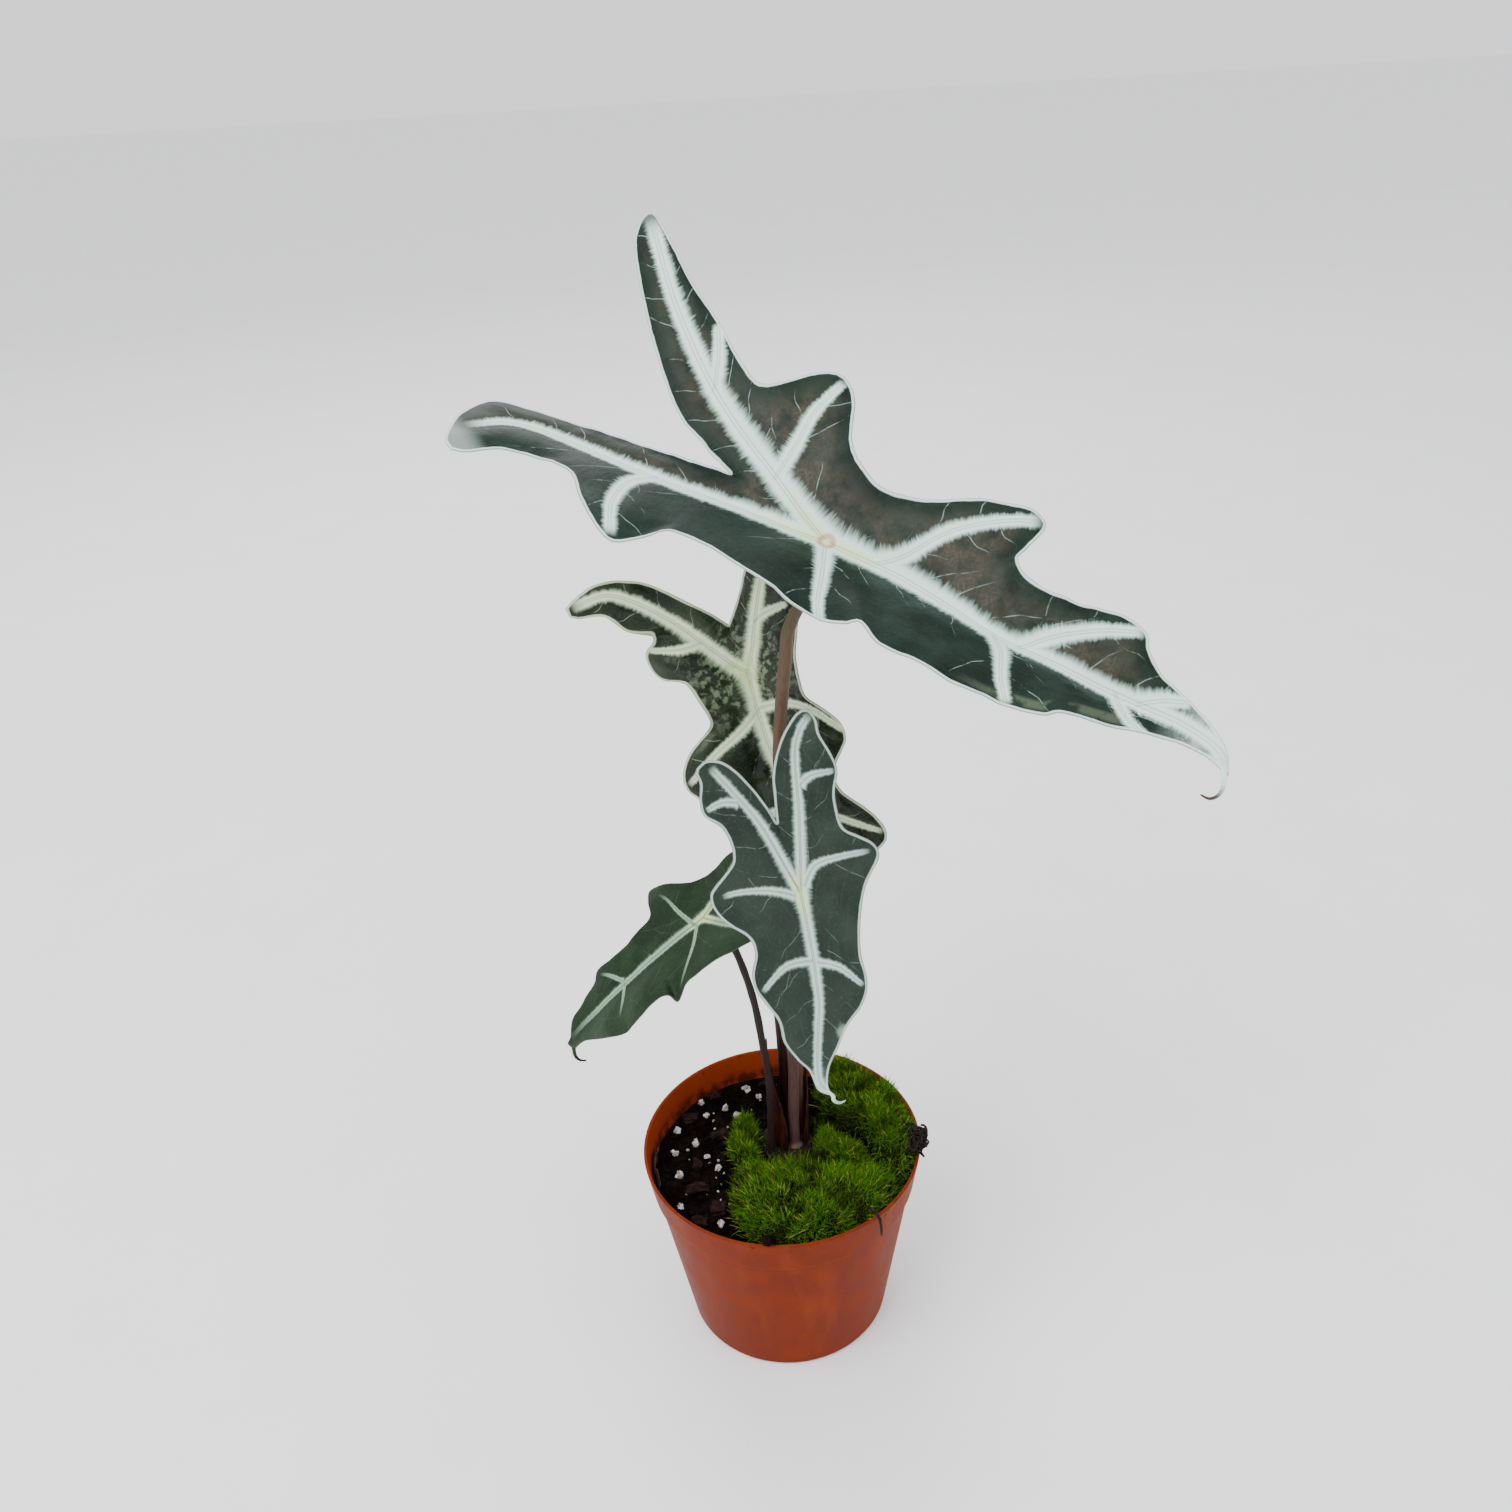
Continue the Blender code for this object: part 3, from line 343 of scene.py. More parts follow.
def pot_profile():
    """Underside, outer wall with its band, a half-round lip, inner wall and floor; corners are rounded."""
    top_out, top_in = wall_radius(POT_TOP) - LIP_SET_BACK, wall_radius(POT_TOP, True)
    lip = 0.5 * (top_out - top_in)
    base = [(0, 0), (38.0, 0), (BASE_RADIUS - 1.6, 0.0), (BASE_RADIUS - 0.9, 0.15), (BASE_RADIUS - 0.3, 0.6),
            (wall_radius(1.6), 1.6), (wall_radius(2.6), 2.6)]
    wall = [(wall_radius(z), z) for z in np.linspace(6, BAND_FOOT - 2.0, 14)]
    step = [(wall_radius(BAND_FOOT - 1.2), BAND_FOOT - 1.2),
            (wall_radius(BAND_FOOT - 0.9) + 0.2, BAND_FOOT - 0.8),
            (wall_radius(BAND_FOOT) - 0.35, BAND_FOOT - 0.5), (wall_radius(BAND_FOOT), BAND_FOOT)]
    band = [(wall_radius(z), z) for z in np.linspace(BAND_FOOT + 0.6, POT_TOP - 1.4, 8)]
    turn = np.linspace(0, math.pi, 9)
    rim = [(top_out - lip + lip * math.cos(a), POT_TOP - lip + lip * math.sin(a)) for a in turn]
    inner = [(wall_radius(z, True), z) for z in np.linspace(POT_TOP - 2, BAND_FOOT + 0.3, 6)]
    inner += [(wall_radius(z, True), z) for z in np.linspace(BAND_FOOT - 0.9, POT_FLOOR + 2, 10)]
    floor_part = [(wall_radius(POT_FLOOR, True) - 1.6, POT_FLOOR), (36.0, POT_FLOOR), (0, POT_FLOOR)]
    return base + wall + step + band + rim + inner + floor_part


pot_finish = Finish("terracotta plastic", Roughness=0.5, Specular_IOR_Level=0.06)
mottle = pot_finish.noise(14.0, 4.0).rise(0.3, 0.75)
streaks = pot_finish.noise(9.0, 3.0, stretch=(1.0, 1.0, 0.18)).rise(0.45, 0.8)
scuff = pot_finish.noise(3.2, 5.0, stretch=(1.0, 1.0, 2.2)).rise(0.63, 0.74)
x_mm, y_mm, z_mm = pot_finish.split(pot_finish.place)
radius_mm = (x_mm * x_mm + y_mm * y_mm) ** 0.5
wall_line = z_mm * ((RIM_RADIUS - BAND_STEP - BASE_RADIUS) / POT_TOP) + (BASE_RADIUS - 0.55)
wall_line = wall_line + z_mm.rise(BAND_FOOT - 1.0, BAND_FOOT + 0.2) * BAND_STEP
inside_face = (radius_mm - wall_line).rise(-0.1, -0.5) * z_mm.rise(2.0, 4.0)
body_colour = pot_finish.mix(mottle, (0.118, 0.0120, 0.0020), (0.160, 0.0200, 0.0030))
body_colour = pot_finish.mix(streaks * 0.35, body_colour, (0.215, 0.036, 0.008))
# Painted light: the inside of the pot is painted a brighter orange than the outside, to make up for the shade
# that falls inside it.
body_colour = pot_finish.mix(inside_face * 0.75, body_colour, (0.270, 0.0340, 0.0040))
body_colour = pot_finish.mix(scuff * 0.30, body_colour, (0.28, 0.075, 0.030))
dirt = pot_finish.noise(2.2, 4.0).rise(0.60, 0.72) * z_mm.rise(POT_TOP - 9, POT_TOP - 2)
soil_film = inside_face * z_mm.rise(POT_TOP - 6.5, POT_TOP - 11.5)
soil_film = soil_film * pot_finish.noise(5.0, 4.0).rise(0.35, 0.6)
body_colour = pot_finish.mix(dirt * 0.65, body_colour, (0.020, 0.008, 0.004))
body_colour = pot_finish.mix(soil_film * 0.8, body_colour, (0.018, 0.007, 0.004))
pot_finish.feed("Base Color", body_colour)
pot_finish.feed("Roughness", 0.46 + mottle * 0.12 + scuff * 0.22 + dirt * 0.25)
pot_finish.bump(pot_finish.noise(0.7, 3.0) * 0.5 + scuff * 0.6 + streaks * 0.3, 0.06)

pot_points, pot_faces = turned_surface(pot_profile(), POT_SEGMENTS)
pot = make_piece("pot_shell", pot_points, pot_faces, pot_finish, "pot", ["pot"])


def drill(piece, centres, radius, low, high):
    """Cuts round holes along Z through a closed piece and bakes the cut into its mesh."""
    for centre in centres:
        profile = [(0, low), (radius, low), (radius, high), (0, high)]
        points, faces = turned_surface(profile, HOLE_SIDES, centre)
        mesh = bpy.data.meshes.new("drill")
        mesh.from_pydata((points / 1000).tolist(), [], faces)
        tool = bpy.data.objects.new("drill", mesh)
        bpy.context.scene.collection.objects.link(tool)
        change = piece.modifiers.new("hole", "BOOLEAN")
        change.operation = "DIFFERENCE"
        change.object = tool
        bpy.context.view_layer.update()
        finished = piece.evaluated_get(bpy.context.evaluated_depsgraph_get())
        cut = bpy.data.meshes.new_from_object(finished)
        piece.modifiers.clear()
        piece.data = cut
        bpy.data.objects.remove(tool)


hole_angles = 2 * math.pi * (np.arange(HOLES) + 0.5) / HOLES
drill(pot, polar(0.6 * BASE_RADIUS, hole_angles).tolist(), HOLE_RADIUS, -2.0, POT_FLOOR + 2.0)
pot.data.shade_smooth()


# ---------------------------------------------------------------------------
# Potting mix: a block of dark peat that fills the pot, uneven on top, with loose crumbs on it.
# It is filled in by hand and pressed down.
# ---------------------------------------------------------------------------
SOIL_LEVEL = float(box_mm("soil")[1][2])
SOIL_REACH = 55.0
STUMP_LOW, STUMP_HIGH = box_mm("rhizome")
STUMP_AT = 0.5 * (STUMP_LOW + STUMP_HIGH)[:2]
STUMP_RADIUS = float(0.5 * (STUMP_HIGH - STUMP_LOW)[0])


def lattice_noise(points, size, seed):
    """Value noise: random numbers at whole lattice places, blended smoothly between them; -1 to 1."""
    places = np.asarray(points) / size + 1000.0
    base = np.floor(places).astype(np.int64)
    part = places - base
    part = part * part * (3 - 2 * part)
    total = np.zeros(len(places))
    dimensions = places.shape[1]
    primes = (73856093, 19349663, 83492791)
    for corner in range(2 ** dimensions):
        bits = [(corner >> k) & 1 for k in range(dimensions)]
        key = np.full(len(places), seed * 7919, dtype=np.int64)
        weight = np.ones(len(places))
        for k, bit in enumerate(bits):
            key ^= (base[:, k] + bit) * primes[k]
            weight *= part[:, k] if bit else 1 - part[:, k]
        key = (key ^ (key >> 13)) * 1274126177
        total += weight * (((key ^ (key >> 16)) & 0xFFFF) / 32767.5 - 1)
    return total


def layered_noise(points, size, layers, seed):
    """Sum of lattice noise layers, each half the size and half the height of the one before."""
    return sum(lattice_noise(points, size / 2 ** k, seed + k) / 2 ** k for k in range(layers))


def soil_height(xy):
    """Height of the potting mix: level, lumpy at two sizes, a little lower at the wall."""
    spread = np.linalg.norm(xy, axis=1)
    lumps = 1.1 * layered_noise(xy, 9.0, 3, 11) + 0.5 * layered_noise(xy, 2.2, 2, 23)
    calmed = np.clip((57.0 - spread) / 3.0, 0.15, 1.0)
    return SOIL_LEVEL - 1.1 + lumps * calmed - 0.9 * (spread / SOIL_REACH) ** 6


SOIL_RINGS = 90
SOIL_SEGMENTS = 260
SOIL_FOOT = 4.0
SOIL_GAP = 0.4
soil_reach = np.linspace(0, 1, SOIL_RINGS)[1:] ** 0.8 * (wall_radius(SOIL_LEVEL, True) - 0.35)
soil_angle = full_turn(SOIL_SEGMENTS)
soil_xy = polar(soil_reach[:, None], soil_angle).reshape(-1, 2)
soil_stack = [np.column_stack([soil_xy, soil_height(soil_xy)])]
for depth in (SOIL_LEVEL - 12.0, BAND_FOOT - 1.0, 30.0, SOIL_FOOT):
    ring = min(wall_radius(depth, True), wall_radius(SOIL_LEVEL, True)) - SOIL_GAP
    soil_stack.append(np.column_stack([polar(ring, soil_angle), np.full(SOIL_SEGMENTS, depth)]))
soil_poles = [[0, 0, float(soil_height(np.zeros((1, 2)))[0])], [0, 0, SOIL_FOOT]]
soil_points = np.vstack([*soil_stack, soil_poles])
soil_faces = [face[::-1] for face in ring_faces(len(soil_points) // SOIL_SEGMENTS, SOIL_SEGMENTS)]

mix_finish = Finish("potting mix", Roughness=0.95, Specular_IOR_Level=0.03)
coarse = mix_finish.noise(6.0, 5.0).rise(0.35, 0.7)
fine = mix_finish.noise(0.9, 4.0)
mix_colour = mix_finish.mix(coarse, (0.0024, 0.0016, 0.0015), (0.0090, 0.0050, 0.0040))
mix_colour = mix_finish.mix(fine.rise(0.62, 0.72), mix_colour, (0.024, 0.012, 0.008))
mix_finish.feed("Base Color", mix_colour)
mix_finish.bump(fine + coarse * 0.8, 0.6)
make_piece("potting_mix", soil_points, soil_faces, mix_finish, "soil", ["soil"])


def ball(level):
    """Unit sphere of triangles: an icosahedron whose faces are split level times."""
    ratio = (1 + math.sqrt(5)) / 2
    points = np.array([(-1, ratio, 0), (1, ratio, 0), (-1, -ratio, 0), (1, -ratio, 0), (0, -1, ratio),
                       (0, 1, ratio), (0, -1, -ratio), (0, 1, -ratio), (ratio, 0, -1), (ratio, 0, 1),
                       (-ratio, 0, -1), (-ratio, 0, 1)], dtype=float)
    faces = np.array([(0, 11, 5), (0, 5, 1), (0, 1, 7), (0, 7, 10), (0, 10, 11), (1, 5, 9), (5, 11, 4),
                      (11, 10, 2), (10, 7, 6), (7, 1, 8), (3, 9, 4), (3, 4, 2), (3, 2, 6), (3, 6, 8),
                      (3, 8, 9), (4, 9, 5), (2, 4, 11), (6, 2, 10), (8, 6, 7), (9, 8, 1)])
    points = unit(points)
    for _ in range(level):
        edges = np.sort(np.vstack([faces[:, [0, 1]], faces[:, [1, 2]], faces[:, [2, 0]]]), axis=1)
        unique, where = np.unique(edges, axis=0, return_inverse=True)
        ab, bc, ca = where.reshape(3, -1) + len(points)
        points = np.vstack([points, unit(points[unique].mean(axis=1))])
        a, b, c = faces.T
        quarters = ((a, ab, ca), (b, bc, ab), (c, ca, bc), (ab, bc, ca))
        faces = np.vstack([np.stack(three, -1) for three in quarters])
    return points, faces


def scatter(points, faces, at, size, turn):
    """Copies of one small shape: scaled by size (x, y, z), turned about Z, moved to at."""
    c, s = np.cos(turn)[:, None], np.sin(turn)[:, None]
    x, y, z = (points[None, :, k] * size[:, None, k] for k in range(3))
    copies = np.stack([x * c - y * s, x * s + y * c, z], -1) + at[:, None, :]
    offsets = np.arange(len(at))[:, None, None] * len(points)
    return copies.reshape(-1, 3), (faces[None] + offsets).reshape(-1, faces.shape[1])


draw = np.random.default_rng(4021)
CRUMBS = 2600
crumb_points, crumb_faces = ball(0)
crumb_points = crumb_points * (1 + 0.25 * lattice_noise(crumb_points, 0.6, 5))[:, None]
crumb_angle = draw.uniform(0, 2 * math.pi, CRUMBS)
crumb_xy = polar(SOIL_REACH * np.sqrt(draw.uniform(0.02, 1, CRUMBS)), crumb_angle)
open_soil = (crumb_xy[:, 0] < 2) | (draw.uniform(size=CRUMBS) < 0.25)
open_soil &= np.linalg.norm(crumb_xy - STUMP_AT, axis=1) > STUMP_RADIUS - 1
crumb_xy = crumb_xy[open_soil]
crumb_half = draw.lognormal(-0.45, 0.42, len(crumb_xy)).clip(0.25, 1.7)
crumb_size = crumb_half[:, None] * draw.uniform(0.6, 1.35, (len(crumb_xy), 3))
crumb_at = np.column_stack([crumb_xy, soil_height(crumb_xy) + 0.35 * crumb_half])
crumbs, crumb_faces = scatter(crumb_points, crumb_faces, crumb_at, crumb_size,
                              draw.uniform(0, 2 * math.pi, len(crumb_at)))
make_piece("mix_crumbs", crumbs, crumb_faces.tolist(), mix_finish, "soil", smooth=False)


# ---------------------------------------------------------------------------
# Perlite and bark: popped volcanic glass in white porous grains, and split flakes of conifer bark.
# Both are mixed into the peat; these are the ones that lie on top of it.
# ---------------------------------------------------------------------------
def lumpy(node, level, depth, size, layers, seed, power=1.0):
    """Ball filling a node's box, its radius changed by layered noise; power above 1 squares it up."""
    low, high = box_mm(node)
    points, faces = ball(level)
    shaped = np.sign(points) * np.abs(points) ** (1 / power)
    grown = shaped * (1 - depth + depth * layered_noise(points + seed, size, layers, seed))[:, None]
    least, most = grown.min(axis=0), grown.max(axis=0)
    return (grown - 0.5 * (least + most)) / (most - least) * (high - low) + 0.5 * (low + high), faces


def join_shapes(shapes):
    """One list of points and faces from many."""
    points, faces, count = [], [], 0
    for shape_points, shape_faces in shapes:
        points.append(shape_points)
        faces += [[corner + count for corner in face] for face in shape_faces]
        count += len(shape_points)
    return np.vstack(points), faces


perlite_nodes = sorted(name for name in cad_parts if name.startswith("perlite"))
perlite_finish = Finish("perlite", Roughness=0.85)
pores = perlite_finish.noise(0.5, 4.0)
stain = perlite_finish.noise(2.6, 3.0).rise(0.36, 0.60)
perlite_colour = perlite_finish.mix(stain, (0.56, 0.53, 0.50), (0.20, 0.16, 0.14))
perlite_colour = perlite_finish.mix(pores.rise(0.42, 0.30), perlite_colour, (0.13, 0.10, 0.08))
perlite_finish.feed("Base Color", perlite_colour)
perlite_finish.bump(pores, 0.25)
grains = [lumpy(node, 3, 0.42, 0.8, 3, 3 + k) for k, node in enumerate(perlite_nodes)]
PERLITE_CHIPS = 46
chip_points, chip_faces = ball(1)
chip_points = chip_points * (1 + 0.3 * lattice_noise(chip_points, 0.5, 9))[:, None]
chip_xy = np.stack([draw.uniform(-52, -4, PERLITE_CHIPS), draw.uniform(-42, 50, PERLITE_CHIPS)], -1)
chip_xy = chip_xy[np.linalg.norm(chip_xy, axis=1) < 53]
chip_half = draw.uniform(0.25, 0.65, len(chip_xy))
chips = scatter(chip_points, chip_faces, np.column_stack([chip_xy, soil_height(chip_xy) + chip_half]),
                chip_half[:, None] * draw.uniform(0.7, 1.3, (len(chip_xy), 3)),
                draw.uniform(0, 6, len(chip_xy)))
perlite_points, perlite_faces = join_shapes(grains + [chips])
make_piece("perlite_grains", perlite_points, perlite_faces, perlite_finish, "perlite", perlite_nodes)


def two_tone(name, size, detail, limits, dark, light, depth, stretch=None, **fixed):
    """Finish mottled between two colours by one noise, which gives its relief as well."""
    made = Finish(name, **fixed)
    mottling = made.noise(size, detail, stretch=stretch)
    made.feed("Base Color", made.mix(mottling.rise(*limits), dark, light))
    made.bump(mottling, depth)
    return made


bark_nodes = sorted(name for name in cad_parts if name.startswith("bark"))
bark_finish = two_tone("bark", 1.4, 5.0, (0.35, 0.65), (0.0055, 0.0030, 0.0028), (0.022, 0.0090, 0.0070), 0.5,
                       stretch=(0.35, 1.0, 2.0), Roughness=0.92, Specular_IOR_Level=0.06)
flakes = join_shapes([lumpy(node, 3, 0.34, 0.7, 3, 31 + k, 1.5) for k, node in enumerate(bark_nodes)])
make_piece("bark_flakes", *flakes, bark_finish, "bark", bark_nodes)


# ---------------------------------------------------------------------------
# Stump: the short fleshy rhizome that the stalks grow from, ringed with old leaf scars.
# It sits in a socket of peat, and only its top shows.
# ---------------------------------------------------------------------------
STUMP_TOP = float(STUMP_HIGH[2])
STUMP_RINGS = 40
STUMP_SEGMENTS = 64
stump_heights = np.linspace(float(STUMP_LOW[2]), STUMP_TOP, STUMP_RINGS)
stump_share = np.linspace(0, 1, STUMP_RINGS)
stump_radii = STUMP_RADIUS * (1 - 0.55 * (1 - stump_share) ** 3 - 0.03 * (1 + np.cos(stump_share * 30)))
stump_profile = [(0, stump_heights[0]), *zip(stump_radii, stump_heights), (STUMP_RADIUS * 0.9, STUMP_TOP),
                 (0, STUMP_TOP)]
stump_points, stump_faces = turned_surface(stump_profile, STUMP_SEGMENTS, tuple(STUMP_AT))
stump_finish = two_tone("stump skin", 2.0, 4.0, (0.35, 0.65), (0.007, 0.0035, 0.003), (0.035, 0.017, 0.011),
                        0.5, stretch=(0.4, 0.4, 2.5), Roughness=0.8, Specular_IOR_Level=0.15)
make_piece("stump", stump_points, stump_faces, stump_finish, "rhizome", ["rhizome"])


# ---------------------------------------------------------------------------
# Leaves: each blade is one thin sheet carried by a midrib and two rear ribs, and each has its own stalk.
# A blade is drawn in percent of its length: along the midrib, across to its left, and lifted off its plane.
# ---------------------------------------------------------------------------
# An edge point ends with the place on a vein that its column comes from: a percent of the midrib's length or,
# below 0, of the rear rib's. The right edge runs from the left edge's last point back to its first.
LEAVES = {
    "top": dict(
        joint=(26.5, 0.0, 362.5), aim=-33.5, droop=19.5, roll=25.0, length=153.0, fold=(24.0, 27.0),
        arch=2.0, tip_droop=2.0, lobe_droop=5.0,
        midrib=[(0, 0), (17, 1), (32, 0), (46, -1.5), (57, 0), (69, 1), (79.5, 2.5), (87.5, 3.5), (95, 3),
                (100, 1)],
        left_rib=[(0, 0), (-9.5, 3.5), (-18, 7), (-31, 12), (-44, 18), (-56.5, 25.5), (-68, 33.5), (-83, 46)],
        right_rib=[(0, 0), (-8.5, -2), (-19.5, -4), (-42.5, -9.5), (-69, -13), (-78, -16.5), (-82, -24)],
        left_edge=[
            (100, 1, -3, 97), (96.5, 4, 0, 94), (88, 7.5, 0, 84), (79, 9, 0.5, 74), (74, 11, 1.5, 67),
            (71, 15, -0.5, 60), (65, 15.5, 0, 55), (56, 13, 0.5, 48), (46, 11.5, 2, 38),
            (40, 13.5, 2.5, 31), (40, 18, 0.5, 27), (40.5, 24.5, -1.5, 20), (35.5, 25.5, -0.5, 15),
            (26, 22.5, 0.5, 9), (15.5, 17, 2, 4), (7, 14, 3.5, 0), (0.5, 15, 4, 0),
            (-7, 20, 2.5, -8), (-12.5, 29.5, 0, -14), (-18.5, 34, -2, -20), (-23.5, 32.5, -1.5, -26),
            (-29.5, 26, 0.5, -34), (-34, 22.5, 2, -40), (-41, 25, 1.5, -50), (-53, 32, 0, -62),
            (-64, 37, 0, -74), (-75, 43.5, 0, -86), (-85.5, 49, -1.5, -97), (-85, 41.5, 0, -97),
            (-75.5, 31, 0, -82), (-63, 20, 0.5, -66), (-49.5, 10, 1.5, -48), (-38.5, 6, 0.5, -32),
            (-29, 3.5, 0, 0)],
        right_edge=[
            (-35.5, 2, 1.5, -30), (-49, -1, 2, -46), (-64, -4.5, 1.5, -62),
            (-78.5, -7.5, 0.5, -76), (-88.5, -12, 0, -90), (-88, -22, 0, -97), (-81.5, -33, -1.5, -97),
            (-75, -33.5, -0.5, -92), (-70.5, -27, 0, -84), (-61.5, -23.5, 0.5, -72), (-52.5, -24, 2, -60),
            (-44, -30.5, 1.5, -50), (-34, -36, 0, -42), (-30, -35.5, -1.5, -36), (-26.5, -30, 0, -30),
            (-23.5, -26, 2, -24), (-15, -24.5, 2.5, -12), (1.5, -25.5, 2.5, 0), (8, -26, 0.5, 0),
            (14, -24, -2, 2), (19.5, -22.5, -0.5, 5), (22.5, -21.5, 2, 8), (29, -24, 0.5, 14),
            (37, -23, 0.5, 22), (46.5, -23, 0, 34), (56, -19.5, -1.5, 44), (63.5, -17.5, 0.5, 54),
            (66.5, -14.5, 2, 60), (73.5, -9, 0.5, 70), (84.5, -2, 0, 82), (93.5, 0, 0, 92)],
        petiole=[(8.3, 13.6, 8), (8.0, 11.0, 40), (7.4, 8.0, 100), (7.0, 6.0, 160), (7.2, 5.0, 201),
                 (10.8, 5.0, 237), (13.6, 5.0, 252)],
        petiole_radii=(2.9, 2.7, 2.2)),
    "back": dict(
        joint=(-3.0, 34.0, 299.0), aim=-37.5, droop=69.0, roll=62.0, length=100.0, fold=(20.0, 20.0),
        arch=3.0, tip_droop=3.0, lobe_droop=8.0,
        midrib=[(0, 0), (21, -1.5), (52, -0.5), (70, 0.5), (87, 0), (101, -0.5)],
        left_rib=[(0, 0), (-8, 5), (-17, 9.5), (-35, 19.5), (-50, 31)],
        right_rib=[(0, 0), (-6, -5), (-22, -15), (-31, -21.5), (-40, -29.5), (-46.5, -38.5), (-46.5, -50)],
        left_edge=[
            (101, -0.5, 0, 97), (95, 6, 0, 92), (87.5, 16, 1, 84), (81.5, 25.5, 0, 74), (77.5, 31.5, -3, 66),
            (70.5, 32.5, -2, 60), (61.5, 28.5, 1, 54), (53.5, 23, 4, 48), (47.5, 21.5, 5, 44),
            (41.5, 23.5, 3, 36), (37.5, 27, -2, 28), (34, 29.5, -5, 20), (27, 29.5, -3, 13),
            (18.5, 24.5, 1, 8), (13, 21, 4, 4),
            (7, 21, 5, 0), (-1.5, 22, 3, 0), (-10, 25, 0, -12), (-16.5, 28, -3, -24), (-23.5, 32, -3, -38),
            (-31.5, 34, 0, -54), (-39, 36, 1, -70), (-46.5, 35.5, 0, -84), (-53, 32.5, -2, -97),
            (-51.5, 25.5, 0, -90), (-45.5, 19, 0, -74), (-38.5, 13.5, 0, -56), (-31.5, 8.5, 0, -38),
            (-25, 3.5, 1, -20), (-19.5, -1, 0, 0)],
        right_edge=[
            (-26, -5, 2, -22), (-33, -10.5, 3, -36), (-40.5, -18, 2, -52),
            (-46.5, -25.5, 1, -66), (-50.5, -34, 0, -80), (-51.5, -43, 0, -90), (-47, -54, -2, -97),
            (-42.5, -52, -1, -94), (-40, -43, 0, -84), (-37, -39, 2, -72), (-31.5, -36, 1, -58),
            (-28.5, -31.5, 2, -48), (-26.5, -27, 5, -40), (-23.5, -28.5, 2, -34), (-20, -33.5, -4, -28),
            (-13, -34, -5, -18), (-8, -30.5, -4, -8), (-4.5, -23, 0, 0), (2, -19, 6, 0),
            (9.5, -18, 4, 3), (15, -20, 0, 7), (19, -26, -3, 11), (23, -31.5, -4, 16), (29.5, -36, -4, 21),
            (36.5, -36.5, -4, 27), (40.5, -33, -2, 33), (46.5, -28, 2, 41), (53, -24, 4, 50),
            (60.5, -21, 3, 58), (72.5, -16, 0, 70), (83.5, -9.5, 0, 82), (93.5, -5, 0, 91)],
        petiole=[(2.6, 16.3, 8), (2.8, 16.3, 34), (1.8, 21.0, 70), (0.5, 30.0, 112), (0.0, 38.0, 160),
                 (-0.5, 45.0, 195), (-1.0, 47.5, 211)],
        petiole_radii=(2.9, 2.4, 2.0)),
    "front": dict(
        joint=(12.0, -32.0, 240.5), aim=-74.0, droop=68.5, roll=15.0, length=79.0, fold=(12.0, 14.0),
        arch=3.0, tip_droop=4.0, lobe_droop=5.0,
        midrib=[(0, 0), (27.5, 1), (51.5, 0.5), (65.5, -2), (80.5, -4.5), (92, -5), (101, 0)],
        left_rib=[(0, 0), (-10.5, 1.5), (-38.5, 5), (-64, 7), (-75, 11), (-80.5, 15.5)],
        right_rib=[(0, 0), (-14.5, -5.5), (-29.5, -11), (-42, -17), (-64, -31)],
        left_edge=[
            (101, 0, 0, 97), (95, -1.5, 0, 93), (86, 0.5, 0, 86), (77, 5.5, 0, 76), (65, 12, 0, 64),
            (57, 19, 0, 55), (50, 23, -2.5, 46), (41.5, 24, 0, 38), (29.5, 23, 2.5, 28), (13, 25.5, 2.5, 14),
            (-1, 30, 1.5, 4), (-10.5, 37, -2.5, 0), (-15, 38, -4, 0), (-20, 35.5, -1.5, -6),
            (-24.5, 29.5, 1.5, -14), (-29, 23.5, 2.5, -24), (-39, 22, 1.5, -38), (-46, 22.5, 0, -48),
            (-54, 25, -2.5, -58), (-62, 23.5, 0, -68), (-72, 19.5, 1.5, -80), (-78.5, 19, 0, -90),
            (-83.5, 16, -1.5, -97), (-83, 11, 0, -93), (-76, 4.5, 0, -80), (-67.5, -0.5, 0, -66),
            (-56.5, -4.5, 0, -50), (-45, -5.5, 1, -34), (-34.5, -6, 0, 0)],
        right_edge=[
            (-44.5, -10, 1, -44), (-54, -15.5, 0, -62), (-62, -21, 0, -78),
            (-67.5, -27.5, 0, -90), (-68, -34.5, -1.5, -97), (-64.5, -38.5, 0, -94), (-58.5, -37.5, 0, -82),
            (-49.5, -39, -1.5, -68), (-43, -37.5, -1.5, -56), (-37.5, -31, 1.5, -44), (-29, -28, 2.5, -28),
            (-21, -28.5, 2.5, -14), (-14.5, -34.5, 0, -4), (-8.5, -40.5, -2.5, 0), (-0.5, -40.5, -2.5, 0),
            (7.5, -35, 0, 4), (14.5, -27, 2.5, 10), (22.5, -25, 2.5, 16), (32.5, -28, 0, 24),
            (40.5, -27.5, -2.5, 32), (47, -24.5, -1.5, 40), (56.5, -19.5, 1.5, 52), (67.5, -18.5, 1.5, 64),
            (78, -14, 0, 76), (86, -9, 0, 85), (96, -6.5, 0, 93)],
        petiole=[(5.6, 7.7, 8), (6.5, 4.5, 40), (8.5, -4.0, 90), (11.0, -15.0, 135), (12.0, -22.5, 152)],
        petiole_radii=(2.9, 2.4, 1.9)),
    "left": dict(
        joint=(-26.0, 2.0, 207.5), aim=-176.0, droop=43.0, roll=-20.0, length=84.0, fold=(9.0, 9.0),
        arch=3.5, tip_droop=3.5, lobe_droop=5.0,
        midrib=[(0, 0), (15, -1), (31, -0.5), (50, 0), (72, -1.5), (89, -3), (102, -2.5)],
        left_rib=[(0, 0), (-8, 10), (-17, 21), (-25, 30)],
        right_rib=[(0, 0), (-10, -3), (-20, -7), (-31, -13)],
        left_edge=[
            (102, -2.5, -6, 97), (88, 5.5, 0, 86), (70, 19.5, 1, 72), (60.5, 24, -1, 62), (45.5, 26.5, 1, 50),
